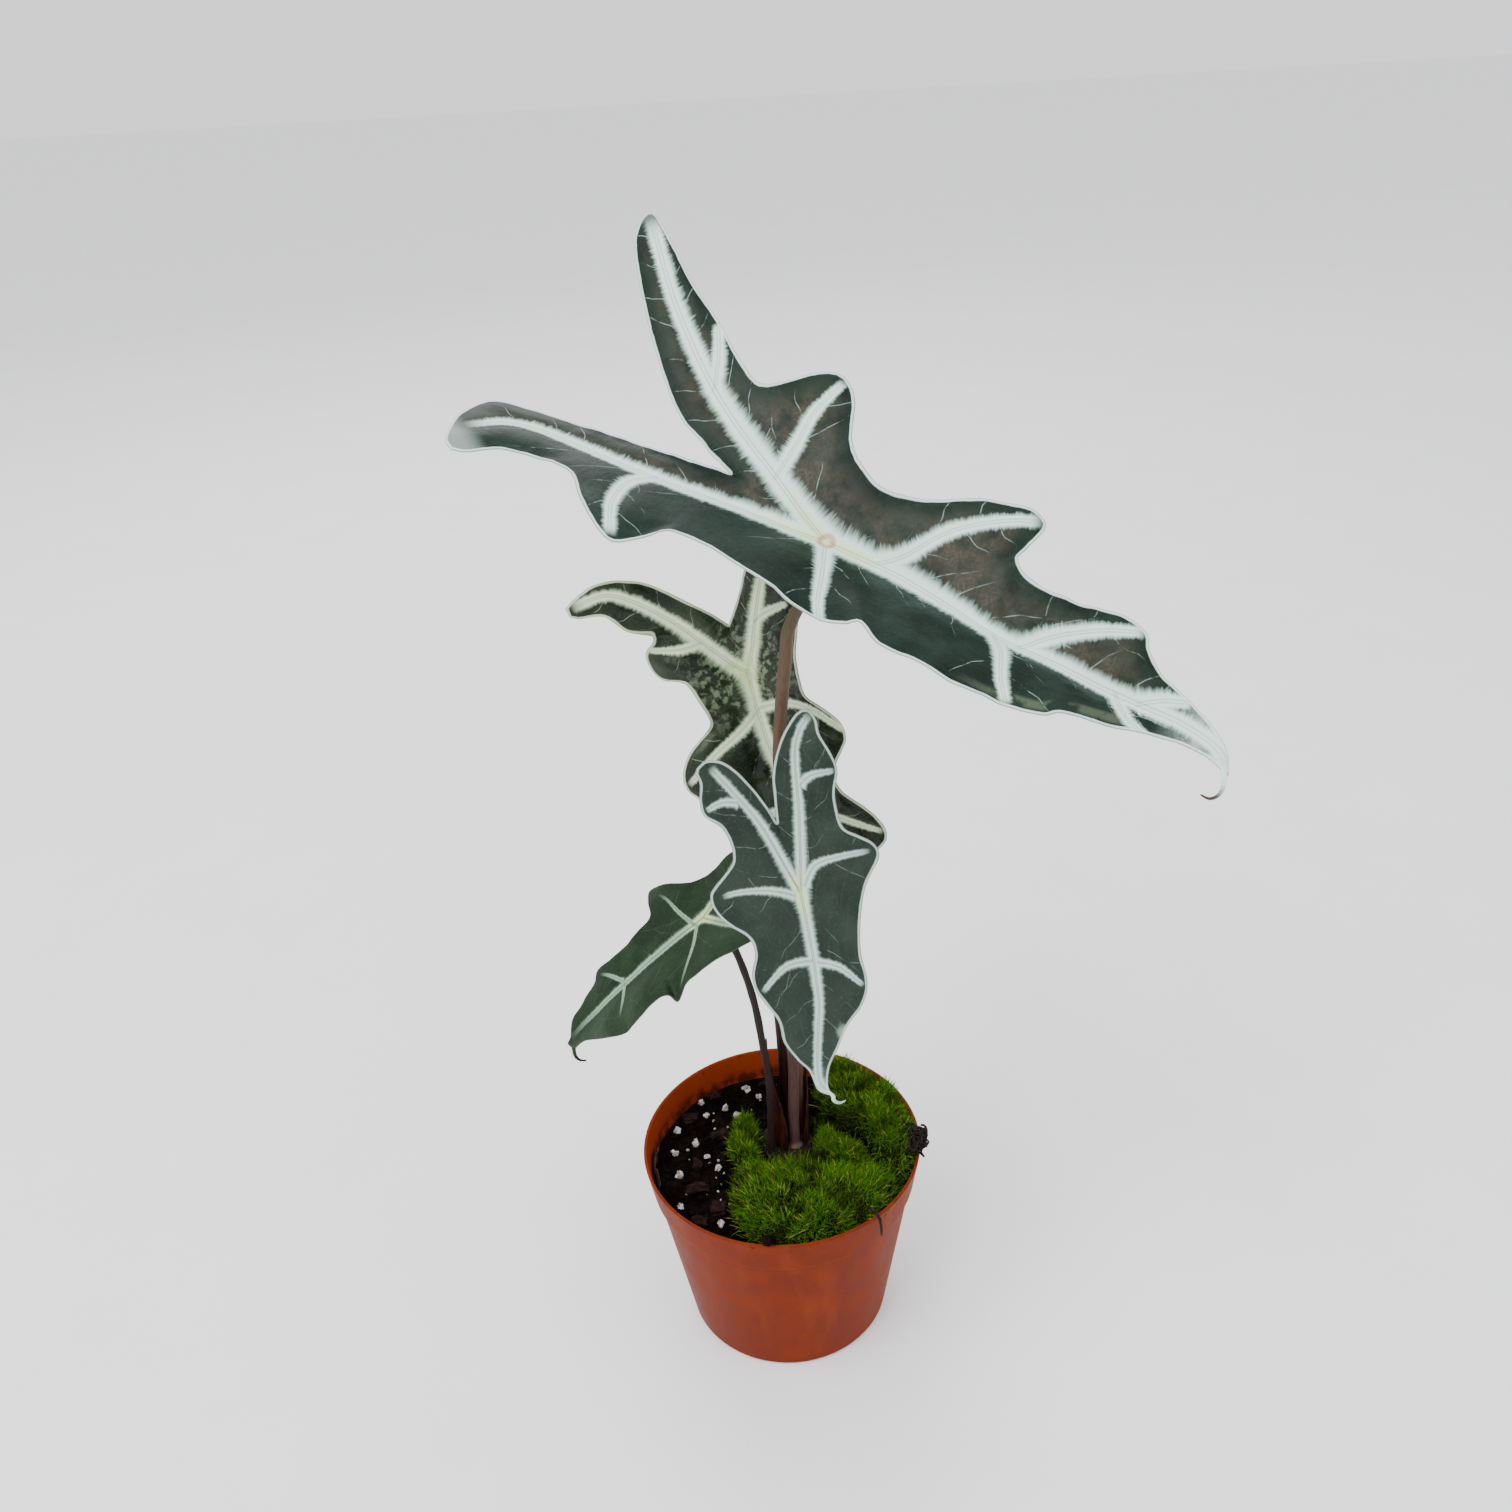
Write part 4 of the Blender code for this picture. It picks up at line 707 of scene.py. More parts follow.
            (35, 25.5, 2.5, 40), (29, 27, 1, 30), (28, 30, -3.5, 20), (19.5, 27.5, 0, 13), (8.5, 29, 2.5, 5),
            (-5, 31, 2.5, 0), (-12, 32.5, 1, -25), (-20, 34, 0, -65), (-27, 35, -2, -97), (-26, 27, 0, -88),
            (-20, 16, 0, -50), (-16, 7, 0, 0)],
        right_edge=[
            (-22, -2, 0, -50), (-30, -7, 0, -85), (-34, -15, -1, -97), (-27, -17, 0, -60),
            (-17, -14.5, 2, -25), (-4, -18, 2.5, 0), (9.5, -29, 0, 3), (20, -34.5, -3.5, 8),
            (22.5, -28, -1, 14), (23.5, -18.5, 2.5, 20), (34, -15.5, 2.5, 32), (52.5, -16.5, 0, 48),
            (64, -18.5, -1, 58), (68.5, -14.5, 0, 64), (79, -11.5, 1, 76), (92, -9, 0, 90)],
        petiole=[(-4.5, 2.5, 6), (-3.8, 2.0, 40), (-5.9, 2.0, 64), (-8.0, 2.5, 83), (-11.2, 4.0, 98),
                 (-15.0, 5.5, 110)],
        petiole_radii=(1.9, 1.6, 1.5)),
}
VEIN_END = 97
FOLD_ROUNDING = 1.5
PUFF = 0.05

# Drip tips: how a blade's point runs out and curls, in mm from its end; its radii there; and its colours
# where it leaves the blade and at its own end.
DRIP_TIPS = {
    "top": dict(route=[(-1.4, 0, 0.4), (-1.2, -0.2, -2.0), (-1.4, -0.3, -4.5), (-2.8, -0.5, -6.9),
                       (-5.4, -0.6, -7.7), (-8.2, -0.4, -6.2)],
                girth=(1.0, 0.85, 0.7, 0.6, 0.5, 0.28), foot=(0.70, 0.86, 0.82), end=(0.055, 0.040, 0.032)),
    "front": dict(route=[(0.0, 0, 0.2), (0.2, -0.2, -1.5), (1.2, -0.2, -2.8), (2.9, -0.2, -3.2),
                         (4.7, -0.1, -2.4)],
                  girth=(0.75, 0.75, 0.65, 0.5, 0.22), foot=(0.50, 0.64, 0.60), end=(0.30, 0.38, 0.34)),
    "left": dict(route=[(0, 0, 0.4), (0, 0, -2.0), (0.5, 0, -4.4), (2.0, 0, -6.2), (4.6, 0, -6.6)],
                 girth=(0.9, 0.8, 0.7, 0.55, 0.3), foot=(0.020, 0.030, 0.015), end=(0.016, 0.011, 0.009)),
}
TIP_RINGS = 30
TIP_SIDES = 10
# Side veins, in the same percent as the outlines.
LATERALS = {
    "top": [
        [(13, 1.5), (17.5, 5), (23.5, 13), (32, 20), (38.5, 24)],
        [(50, -1), (54.5, 4), (62.5, 10), (70, 14.5)], [(-19, 7), (-18.5, 14.5), (-19, 23), (-17.5, 32)],
        [(-41, -9), (-42.5, -16), (-39, -26), (-32.5, -34.5)],
        [(1, -2), (6.5, -11.5), (11, -20), (14, -24)], [(44, -1.5), (48, -6), (52, -13.5), (56, -18.5)],
        [(-44, 18), (-47, 24), (-52, 31)], [(77, 2), (81, 5), (86, 7.5)], [(72, 1.5), (77, -3), (82, -4)]],
    "back": [
        [(15, -0.5), (14.5, 10.5), (18.5, 20), (30.5, 29.5)], [(16, -2), (21, -10), (26, -21.5), (33.5, -34)],
        [(-18.5, 10), (-21, 15.5), (-22.5, 25)], [(-17, -12), (-17.5, -20.5), (-21, -31)],
        [(57, -0.5), (61.5, 13), (73, 30.5)], [(56.5, -0.5), (55.5, -10), (56.5, -24)]],
    "front": [
        [(-3.5, 2.5), (-12.5, 8.5), (-15.5, 20.5), (-16, 34)],
        [(0.5, -3), (-4.5, -14), (-6.5, -27.5), (-5.5, -35.5)], [(33, 3), (36, 12.5), (46, 22)],
        [(32, 0), (32, -12.5), (42, -24.5)],
        [(-50, 7.5), (-54, 13), (-54.5, 23.5)], [(-47, -22), (-48.5, -29), (-46, -36.5)]],
    "left": [
        [(4.5, 1), (8, 11), (15.5, 20), (26, 28.5)], [(5.5, 0), (9.5, -11.5), (12, -21), (17, -30)],
        [(52, -1), (55, 9), (60.5, 17)], [(52, -2), (58, -10), (64, -16)]],
}
# Each leaf's looks: dark and light lamina; blush on the left half and how much of it; halo and core of the
# veins; half-widths of the main and side veins in mm and how strong they are; pale margin and pale ends; where
# main and side veins fade, as shares of their length; frosting round the joint; quilting and crinkle in mm;
# roughness; specular level; how strong the finest veins are.
LOOKS = {
    "top": dict(
        dark=(0.0042, 0.0100, 0.0072), light=(0.0105, 0.0235, 0.0165),
        blush=(0.068, 0.058, 0.042), blushed=0.9, halo=(0.36, 0.52, 0.47), core=(0.70, 0.86, 0.82),
        widths=(4.9, 3.6), strength=1.0, rim=1.0, ends=0.75, run=(1.03, 0.94), fade=(1.05, 0.92),
        frost=0.0, quilt=1.1, crinkle=0.5, rough=0.42, gloss=0.1, fine=0.5),
    "back": dict(
        dark=(0.0018, 0.0036, 0.0018), light=(0.0150, 0.0270, 0.0100),
        blush=(0.012, 0.010, 0.005), blushed=0.5, halo=(0.32, 0.43, 0.27), core=(0.68, 0.80, 0.55),
        widths=(3.6, 2.4), strength=1.0, rim=0.75, ends=0.5, run=(1.03, 0.94), fade=(1.05, 0.92),
        frost=0.4, quilt=1.9, crinkle=1.2, rough=0.28, gloss=0.25, fine=0.4),
    "front": dict(
        dark=(0.0125, 0.0215, 0.0160), light=(0.0230, 0.0360, 0.0275),
        blush=(0.020, 0.026, 0.018), blushed=0.3, halo=(0.20, 0.29, 0.26), core=(0.50, 0.64, 0.60),
        widths=(2.7, 1.9), strength=1.0, rim=0.85, ends=0.7, run=(1.03, 0.94), fade=(1.02, 0.85),
        frost=0.0, quilt=0.9, crinkle=0.5, rough=0.42, gloss=0.12, fine=0.35),
    "left": dict(
        dark=(0.0080, 0.0185, 0.0080), light=(0.0150, 0.0330, 0.0140),
        blush=(0.016, 0.032, 0.014), blushed=0.3, halo=(0.080, 0.140, 0.085), core=(0.32, 0.46, 0.34),
        widths=(2.2, 1.1), strength=0.9, rim=0.0, ends=0.0, run=(0.97, 0.66), fade=(0.95, 0.35),
        frost=0.0, quilt=0.7, crinkle=0.4, rough=0.46, gloss=0.1, fine=0.2),
}
MIDRIB_STEPS = 90
RIB_STEPS = 44
ROWS = 32
SHEET_HALF = 0.35
RIM_HALF = 0.2
VEIN_SPACING = 6.6
QUILT_REACH = 6.0
MAIN_RIB_HEIGHT = 1.5
SIDE_RIB_HEIGHT = 0.5


def leaf_axes(leaf):
    """Unit vectors along the midrib, to the blade's left and out of its upper face."""
    aim, droop, roll = (math.radians(leaf[key]) for key in ("aim", "droop", "roll"))
    along = np.array((math.cos(aim) * math.cos(droop), math.sin(aim) * math.cos(droop), -math.sin(droop)))
    upright = np.cross(unit(np.cross(along, (0, 0, 1))), along)
    face = upright * math.cos(roll) + np.cross(along, upright) * math.sin(roll)
    return along, np.cross(face, along), face


def on_vein(points, share):
    """Points at given shares of a vein's length."""
    fine = catmull(points, np.linspace(0, len(points) - 1, 200))
    length = np.concatenate([[0], np.cumsum(np.linalg.norm(np.diff(fine, axis=0), axis=1))])
    return np.stack([np.interp(np.asarray(share) * length[-1], length, fine[:, k]) for k in (0, 1)], -1)


def base_lift(leaf, at):
    """Two halves folded up from the midrib, arched along it, with drooping tip and lobes (percent)."""
    left, right = (math.tan(math.radians(fold)) for fold in leaf["fold"])
    rounded = np.sqrt(at[:, 1] ** 2 + FOLD_ROUNDING ** 2) - FOLD_ROUNDING
    lift = np.where(at[:, 1] > 0, left, right) * rounded
    ahead = np.clip(at[:, 0] / 100, 0, 1)
    behind = np.clip(-at[:, 0] / 100, 0, 1)
    lift += leaf["arch"] * np.sin(math.pi * ahead) ** 2 - leaf["tip_droop"] * ahead ** 3
    return lift - leaf["lobe_droop"] * behind ** 2


def blade_columns(leaf):
    """Feet, rims and foot keys of the columns: each runs straight from a place on a vein to the edge.

    A foot moves along its vein by whole steps of that vein, so the columns of both sides share their feet.
    """
    feet, rims, keys = [], [], []
    left_edge = leaf["left_edge"]
    right_edge = [left_edge[-1], *leaf["right_edge"], left_edge[0]]
    for side, sign, edge in (("left", 1, left_edge), ("right", 2, right_edge)):
        for k, (start, end) in enumerate(zip(edge, edge[1:])):
            a, b = start[3], end[3]
            if a == b:
                steps = max(2, round(0.6 * math.dist(start[:2], end[:2])))
                share = np.arange(steps) / steps
                grid = np.full(len(share), float(a))
            else:
                steps = MIDRIB_STEPS if max(a, b) > 0 else RIB_STEPS
                grid = math.copysign(1, a + b) * np.linspace(0, VEIN_END, steps + 1)
                grid = np.sort(grid[((grid > min(a, b)) & (grid < max(a, b))) | (grid == a)])
                grid = grid[::-1] if a > b else grid
                share = (grid - a) / (b - a)
            feet.append(np.where(grid[:, None] > 0, on_vein(leaf["midrib"], grid / 100),
                                 on_vein(leaf[side + "_rib"], -grid / 100)))
            rims.append(catmull([point[:3] for point in edge], k + share))
            keys.append(np.where(grid == 0, 0, np.where(grid > 0, 1000 + grid, sign * 10000 - grid)))
    return np.vstack(feet), np.vstack(rims), np.concatenate(keys)


def vein_frame(points, vein):
    """Nearness, signed distance across, distance along and share of the length of one vein, in mm."""
    step = np.diff(vein, axis=0)
    length = np.linalg.norm(step, axis=1)
    forward = step / length[:, None]
    offset = points[:, None, :] - vein[None, :-1]
    along = (offset * forward).sum(-1)
    across = forward[:, 0] * offset[..., 1] - forward[:, 1] * offset[..., 0]
    near = np.hypot(across, along - np.clip(along, 0, length))
    pick = near.argmin(1)
    row = np.arange(len(points))
    walked = np.cumsum(length)[pick] - length[pick] + along[row, pick]
    return near[row, pick], across[row, pick], walked, walked / length.sum()


def fine_veins(veins):
    """Thin side veins: every few millimetres one leaves its parent at 50 to 70 degrees and bends forward."""
    made = []
    for vein in veins:
        length = np.linalg.norm(np.diff(vein, axis=0), axis=1).sum()
        for k in range(1, int(length / VEIN_SPACING)):
            place = min((k + draw.uniform(-0.2, 0.2)) * VEIN_SPACING / length, 0.98)
            here, ahead = on_vein(vein, [place, min(place + 0.03, 1.0)])
            forward = (ahead - here) / max(np.linalg.norm(ahead - here), 1e-6)
            turn = math.radians(draw.uniform(48, 72)) * (1 if k % 2 else -1)
            c, s = math.cos(turn), math.sin(turn)
            outward = np.array([forward[0] * c - forward[1] * s, forward[0] * s + forward[1] * c])
            t = np.linspace(0, 1, 8)[:, None] * draw.uniform(8, 25)
            made.append(here + outward * t + forward * 0.022 * t ** 2 + 0.4 * np.sin(t * 0.9 + k))
    return made


def shaded(colour, factor):
    """The same colour, lighter or darker by a factor."""
    return tuple(factor * part for part in colour)


def blade_skin(name, look, upper):
    """Leaf skin: dark lamina, pale feathered bands along the veins, a thin pale margin."""
    skin = Finish("blade " + name + ("" if upper else " underside"), Roughness=look["rough"],
                  Specular_IOR_Level=look["gloss"] if upper else 0.12)
    margin, across, along = skin.parts("place")
    main_across, main_along, main_share = skin.parts("main")
    side_across, side_along, side_share = skin.parts("side")
    fine_across, _, fine_share = skin.parts("fine")
    from_joint = (across * across + along * along) ** 0.5
    cloud = skin.noise(16.0, 4.0).rise(0.32, 0.70)
    speck = skin.noise(1.1, 3.0)
    lamina = skin.mix(cloud, look["dark"], look["light"])
    left_half = across.rise(0.0, 3.0)
    if name == "top":
        left_half = left_half.math("MAXIMUM", along.rise(-4.0, -12.0) * main_across.rise(-0.5, -3.0))
    blush = left_half * margin.rise(1.0, 13.0) * skin.noise(7.0, 4.0).rise(0.25, 0.65) * look["blushed"]
    lamina = skin.mix(blush, lamina, look["blush"])
    lamina = skin.mix(blush * speck.rise(0.42, 0.58) * 0.45, lamina, look["dark"])
    lamina = skin.mix(speck.rise(0.50, 0.75) * 0.3, lamina, shaded(look["light"], 2.0))
    growth = skin.noise(1.0, 3.0, at=skin.joined(margin / 0.9, main_along / 16.0)).rise(0.52, 0.72)
    lamina = skin.mix(growth * 0.25, lamina, shaded(look["light"], 1.9))
    if name == "top" and upper:
        # Painted sheen: a pale olive band about 3 mm inside the right-hand margin of the top blade, towards
        # its tip, stands in for a soft reflection.
        painted_sheen = abs(margin - 3.4).rise(2.6, 0.8) * across.rise(-1.0, -4.0) * along.rise(66.0, 84.0)
        painted_sheen = painted_sheen * skin.noise(9.0, 3.0).rise(0.45, 0.6) * 0.7
        lamina = skin.mix(painted_sheen, lamina, (0.085, 0.110, 0.070))

    def streaks(walked, offset, width, length, shift):
        """Brush marks that run across a vein: noise stretched along the offset."""
        return skin.noise(1.0, 2.0, at=skin.joined(walked / width, offset / length, shift))

    def band(offset, walked, share, half, seed, fade):
        """Feathered halo and clean core of a vein; both taper and fade past its end."""
        reach = half * (1.06 - 0.42 * share.rise(0.0, 1.0) + 0.25 * share.rise(0.12, 0.0))
        brushed = streaks(walked, offset, 0.9, 9.0, seed)
        away = abs(offset) / reach
        alive = share.rise(-0.04, 0.0) * share.rise(*fade)
        halo = (away + (brushed - 0.5) * 0.95).rise(1.26, 0.64) * alive
        core = (away + (brushed - 0.5) * 0.40).rise(0.94, 0.44) * alive
        lines = abs(abs(offset) - half * 0.13).rise(0.26, 0.08) * alive
        return halo, core, lines

    main_half, side_half = look["widths"]
    main_halo, main_core, main_lines = band(main_across, main_along, main_share, main_half, 1.5, look["run"])
    side_halo, side_core, side_lines = band(side_across, side_along, side_share, side_half, 6.5, look["fade"])
    halo = main_halo.math("MAXIMUM", side_halo) * look["strength"]
    core = main_core.math("MAXIMUM", side_core) * look["strength"]
    hair = abs(fine_across).rise(0.26, 0.06) * fine_share.rise(0.0, 0.02) * fine_share.rise(1.0, 0.7)
    hair = hair * (1.15 - fine_share).rise(0.0, 0.9) * margin.rise(0.5, 2.0)
    hair = hair * skin.noise(4.0, 2.0).rise(0.35, 0.6) * look["fine"]
    colour = skin.mix(hair, lamina, look["halo"])
    colour = skin.mix(halo * 0.8, colour, look["halo"])
    colour = skin.mix(core * 0.92, colour, look["core"])
    tinted = (34.0, 8.0) if name == "top" else (11.0, 3.0)
    tint = from_joint.rise(*tinted) * core * (1 - side_core)
    tint = tint * abs(main_across).rise(3.4, 1.0) * (0.7 if upper else 0.0)
    colour = skin.mix(tint, colour, (0.62, 0.76, 0.30))
    colour = skin.mix(main_lines * 0.5, colour, look["halo"])
    colour = skin.mix(side_lines * 0.5, colour, look["halo"])
    if name == "top" and upper:
        ring = abs(from_joint - 2.4).rise(1.5, 0.4) * 0.6
        colour = skin.mix(ring, colour, (0.45, 0.11, 0.09))
    pale_rim = (margin + skin.noise(5.0, 3.0) * 0.5).rise(1.35, 0.85) * look["rim"]
    ends = main_share.rise(0.80, 1.0) * along.rise(0.0, 12.0) * (0.45 + skin.noise(3.0, 4.0)).rise(0.6, 1.1)
    if name == "top":
        ends = ends + main_share.rise(1.00, 1.06) * along.rise(-12.0, -30.0) * 0.35
    ends = ends * look["ends"]
    colour = skin.mix(ends, colour, look["core"])
    frosted = from_joint.rise(30.0, 6.0) * skin.noise(3.0, 4.0).rise(0.48, 0.62) * look["frost"]
    colour = skin.mix(frosted, colour, look["halo"])
    colour = skin.mix(pale_rim * 0.85, colour, look["core"])
    colour = skin.mix(margin.rise(0.35, 0.05) * 0.6, colour, (0.070, 0.078, 0.068))
    if name == "front" and upper:
        spot = (((along - 53.5) / 1.4) ** 2 + (across - 7.2) ** 2) ** 0.5
        colour = skin.mix((spot + skin.noise(2.0, 3.0) * 2).rise(4.0, 1.8) * 0.35, colour, look["core"])
    if not upper:
        colour = skin.mix(0.62, colour, (0.042, 0.030, 0.030))
    skin.feed("Base Color", colour)
    skin.feed("Roughness", look["rough"] + (0.12 if upper else 0.3) * core + (speck - 0.5) * 0.16)
    relief = core * 0.5 + hair * 0.4 + streaks(main_along, main_across, 1.4, 8.0, 3.5) * 0.15
    relief = relief + skin.noise(2.6, 4.0) * 0.5 - main_lines * 0.5 - side_lines * 0.4
    skin.bump(relief, 0.45)
    return skin


def carried_ring(path, radii, sides, ends=None):
    """Closed tube: rings of points square to a path, turned as little as possible from ring to ring."""
    path = np.asarray(path, dtype=float)
    tangent = np.gradient(path, axis=0)
    if ends is not None:
        tangent[0], tangent[-1] = ends
    tangent = unit(tangent)
    across = np.cross(tangent[0], (0.3, 1.0, 0.2))
    firsts = []
    for direction in tangent:
        across = unit(across - direction * (across @ direction))
        firsts.append(across)
    firsts = np.array(firsts)
    seconds = np.cross(tangent, firsts)
    angle = full_turn(sides)[:, None]
    radii = np.broadcast_to(np.asarray(radii, dtype=float).reshape(len(path), -1), (len(path), sides))
    spokes = firsts[:, None] * np.cos(angle) + seconds[:, None] * np.sin(angle)
    rings = path[:, None] + radii[..., None] * spokes
    return np.vstack([rings.reshape(-1, 3), path[:1], path[-1:]]), ring_faces(len(path), sides)


def drip_tip(name, sheet_end, before_end):
    """Curled tip: a tapering tube along a curve that starts inside the sheet, from pale to its own colour."""
    tip = DRIP_TIPS[name]
    route = [tuple(before_end - sheet_end)] + tip["route"]
    turns = np.linspace(0, len(route) - 1, TIP_RINGS)
    radii = np.interp(turns, range(len(route)), (0.3, *tip["girth"]))
    points, faces = carried_ring(sheet_end + catmull(route, turns), radii, TIP_SIDES)
    skin = Finish("drip tip " + name, Roughness=0.5, Specular_IOR_Level=0.15)
    climb = skin.parts("walk")[0] + (skin.noise(1.0, 3.0) - 0.5) * 0.2
    skin.feed("Base Color", skin.mix(climb.rise(0.25, 0.75), tip["foot"], tip["end"]))
    walk = np.append(np.repeat(np.linspace(0, 1, TIP_RINGS), TIP_SIDES), [0, 1])
    make_piece("blade_" + name + "_drip_tip", points, faces, skin, "blade_" + name, [],
               {"walk": np.column_stack([walk] * 3)})


def blade_piece(name):
    """One blade: columns by rows of points with relief, given its thickness and, below, raised ribs."""
    leaf, look = LEAVES[name], LOOKS[name]
    scale = leaf["length"] / 100
    feet, rims, keys = blade_columns(leaf)
    columns = len(feet)
    share = np.linspace(0, 1, ROWS + 1)[1:]
    at = feet[:, None] + (rims[:, None, :2] - feet[:, None]) * share[:, None]
    width = np.linalg.norm(rims[:, :2] - feet, axis=1)
    lift = base_lift(leaf, at.reshape(-1, 2)).reshape(columns, ROWS) + rims[:, 2:] * share ** 2
    lift += PUFF * width[:, None] * np.sin(math.pi * share)
    _, first, foot_id = np.unique(keys, return_index=True, return_inverse=True)
    flat = np.vstack([feet[first], at.reshape(-1, 2)])
    lifted = np.concatenate([base_lift(leaf, feet[first]), lift.ravel()]) * scale
    flat_mm = flat * scale
    index = np.column_stack([foot_id, len(first) + np.arange(columns * ROWS).reshape(columns, ROWS)])
    after = np.roll(index, -1, axis=0)
    corner = [index[:, :-1], index[:, 1:], after[:, 1:], after[:, :-1]]
    faces = np.vstack([np.stack([corner[a].ravel() for a in three], -1) for three in ((0, 1, 2), (0, 2, 3))])
    faces = faces[faces[:, 0] != faces[:, 2]]
    faces = faces[(faces[:, 0] != faces[:, 1]) & (faces[:, 1] != faces[:, 2])]
    edge = index[:, -1]

    def thread(points, steps=24):
        """A vein as a line of short straight steps, in millimetres."""
        return catmull(np.array(points) * scale, np.linspace(0, len(points) - 1, steps + 1))

    mains = [thread(leaf["midrib"]), thread(leaf["left_rib"]), thread(leaf["right_rib"])]
    sides = [thread(points, 14) for points in LATERALS[name]]
    fines = fine_veins(sides + mains)
    frames = {key: np.array([vein_frame(flat_mm, vein) for vein in veins])
              for key, veins in (("main", mains), ("side", sides), ("fine", fines))}
    rim_line = flat_mm[edge]
    margin = vein_frame(flat_mm, np.vstack([rim_line, rim_line[:1]]))[0]
    main_near = frames["main"][:, 0].min(axis=0)
    side_near = frames["side"][:, 0].min(axis=0)
    near = np.minimum(main_near, side_near + 0.6)
    inward = 1 - np.exp(-(margin / 5.0) ** 2)
    lifted += look["quilt"] * (1 - np.exp(-(near / QUILT_REACH) ** 2)) * inward
    lifted += look["crinkle"] * layered_noise(flat_mm, 13.0, 3, 41) * np.clip(near / QUILT_REACH, 0.15, 1)
    lifted += 0.55 * lattice_noise(flat_mm, 5.0, 77) * np.exp(-margin / 3.0)
    axes = np.array(leaf_axes(leaf))
    sheet = np.column_stack([flat_mm, lifted]) @ axes + np.array(leaf["joint"])
    corners = sheet[faces]
    face_normals = np.cross(corners[:, 1] - corners[:, 0], corners[:, 2] - corners[:, 0])
    normals = np.zeros_like(sheet)
    for k in range(3):
        np.add.at(normals, faces[:, k], face_normals)
    normals = unit(normals)
    half = RIM_HALF + (SHEET_HALF - RIM_HALF) * np.clip(margin / 1.5, 0, 1)
    ribs = MAIN_RIB_HEIGHT * np.exp(-(main_near / 1.5) ** 2) * np.clip(margin / 25, 0.1, 1)
    ribs += SIDE_RIB_HEIGHT * np.exp(-side_near ** 2) * np.clip(margin / 12, 0, 1)
    solid = np.vstack([sheet + normals * half[:, None], sheet - normals * (half + ribs)[:, None]])
    count = len(sheet)
    rim_next = np.roll(edge, -1)
    band = np.stack([rim_next, edge, edge + count, rim_next + count], -1)
    band_tris = np.vstack([band[:, [0, 1, 2]], band[:, [0, 2, 3]]])
    all_faces = np.vstack([faces, faces[:, ::-1] + count, band_tris])
    on_sheet = all_faces % count
    attributes = {"place": np.stack([margin, flat_mm[:, 1], flat_mm[:, 0]], -1)[on_sheet.ravel()]}
    for key, table in frames.items():
        pick = table[:, 0][:, on_sheet].sum(axis=2).argmin(axis=0)
        three = np.stack([table[pick[:, None], 1 + k, on_sheet] for k in range(3)], -1)
        attributes[key] = three.reshape(-1, 3)
    piece = make_piece("blade_" + name + "_skin", solid, all_faces.tolist(), blade_skin(name, look, True),
                       "blade_" + name, ["blade_" + name], attributes)
    piece.data.materials.append(blade_skin(name, look, False).material)
    if name in DRIP_TIPS:
        before_end = np.linalg.norm(flat_mm - on_vein(leaf["midrib"], 0.95) * scale, axis=1).argmin()
        drip_tip(name, sheet[edge[0]], sheet[before_end])
    under = np.zeros(len(all_faces), dtype=np.int32)
    under[len(faces):2 * len(faces)] = 1
    piece.data.polygons.foreach_set("material_index", under)


for leaf_name in LEAVES:
    blade_piece(leaf_name)


# ---------------------------------------------------------------------------
# Stalks: one round fleshy petiole to each blade, joined under its joint. They leave the stump side by side,
# are streaked and mottled, and are stouter and paler at the foot.
# ---------------------------------------------------------------------------
CROWN_LEVEL = SOIL_LEVEL + 1.5

# colours at the foot, a little below the middle and at the top
STALKS = {
    "top": ((0.055, 0.022, 0.014), (0.085, 0.047, 0.026), (0.070, 0.064, 0.029)),
    "back": ((0.026, 0.009, 0.007), (0.028, 0.011, 0.008), (0.050, 0.040, 0.020)),
    "front": ((0.088, 0.048, 0.043), (0.062, 0.030, 0.026), (0.030, 0.018, 0.013)),
    "left": ((0.018, 0.008, 0.007), (0.013, 0.007, 0.006), (0.022, 0.014, 0.009)),
}
STALK_RINGS = 120
STALK_SIDES = 20


def stalk_skin(name, colours):
    """Stalk skin: a colour gradient along it, lengthwise streaks and darker flecks."""
    skin = Finish("petiole " + name, Roughness=0.5, Specular_IOR_Level=0.2)
    along, turn, walked = skin.parts("stalk")
    lines = skin.noise(0.28, 3.0, at=skin.joined(turn, walked / 30.0))
    colour = skin.mix(along.rise(0.0, 0.45), colours[0], colours[1])
    colour = skin.mix(along.rise(0.5, 1.0), colour, colours[2])
    colour = skin.mix(lines.rise(0.45, 0.75) * 0.45, colour, shaded(colours[1], 0.45))
    flecks = skin.noise(1.6, 4.0, stretch=(1, 1, 0.35)).rise(0.58, 0.70)
    colour = skin.mix(flecks * 0.4, colour, (0.022, 0.008, 0.006))
    skin.feed("Base Color", colour)
    skin.feed("Roughness", 0.42 + lines * 0.2)
    skin.bump(lines, 0.18)
    return skin


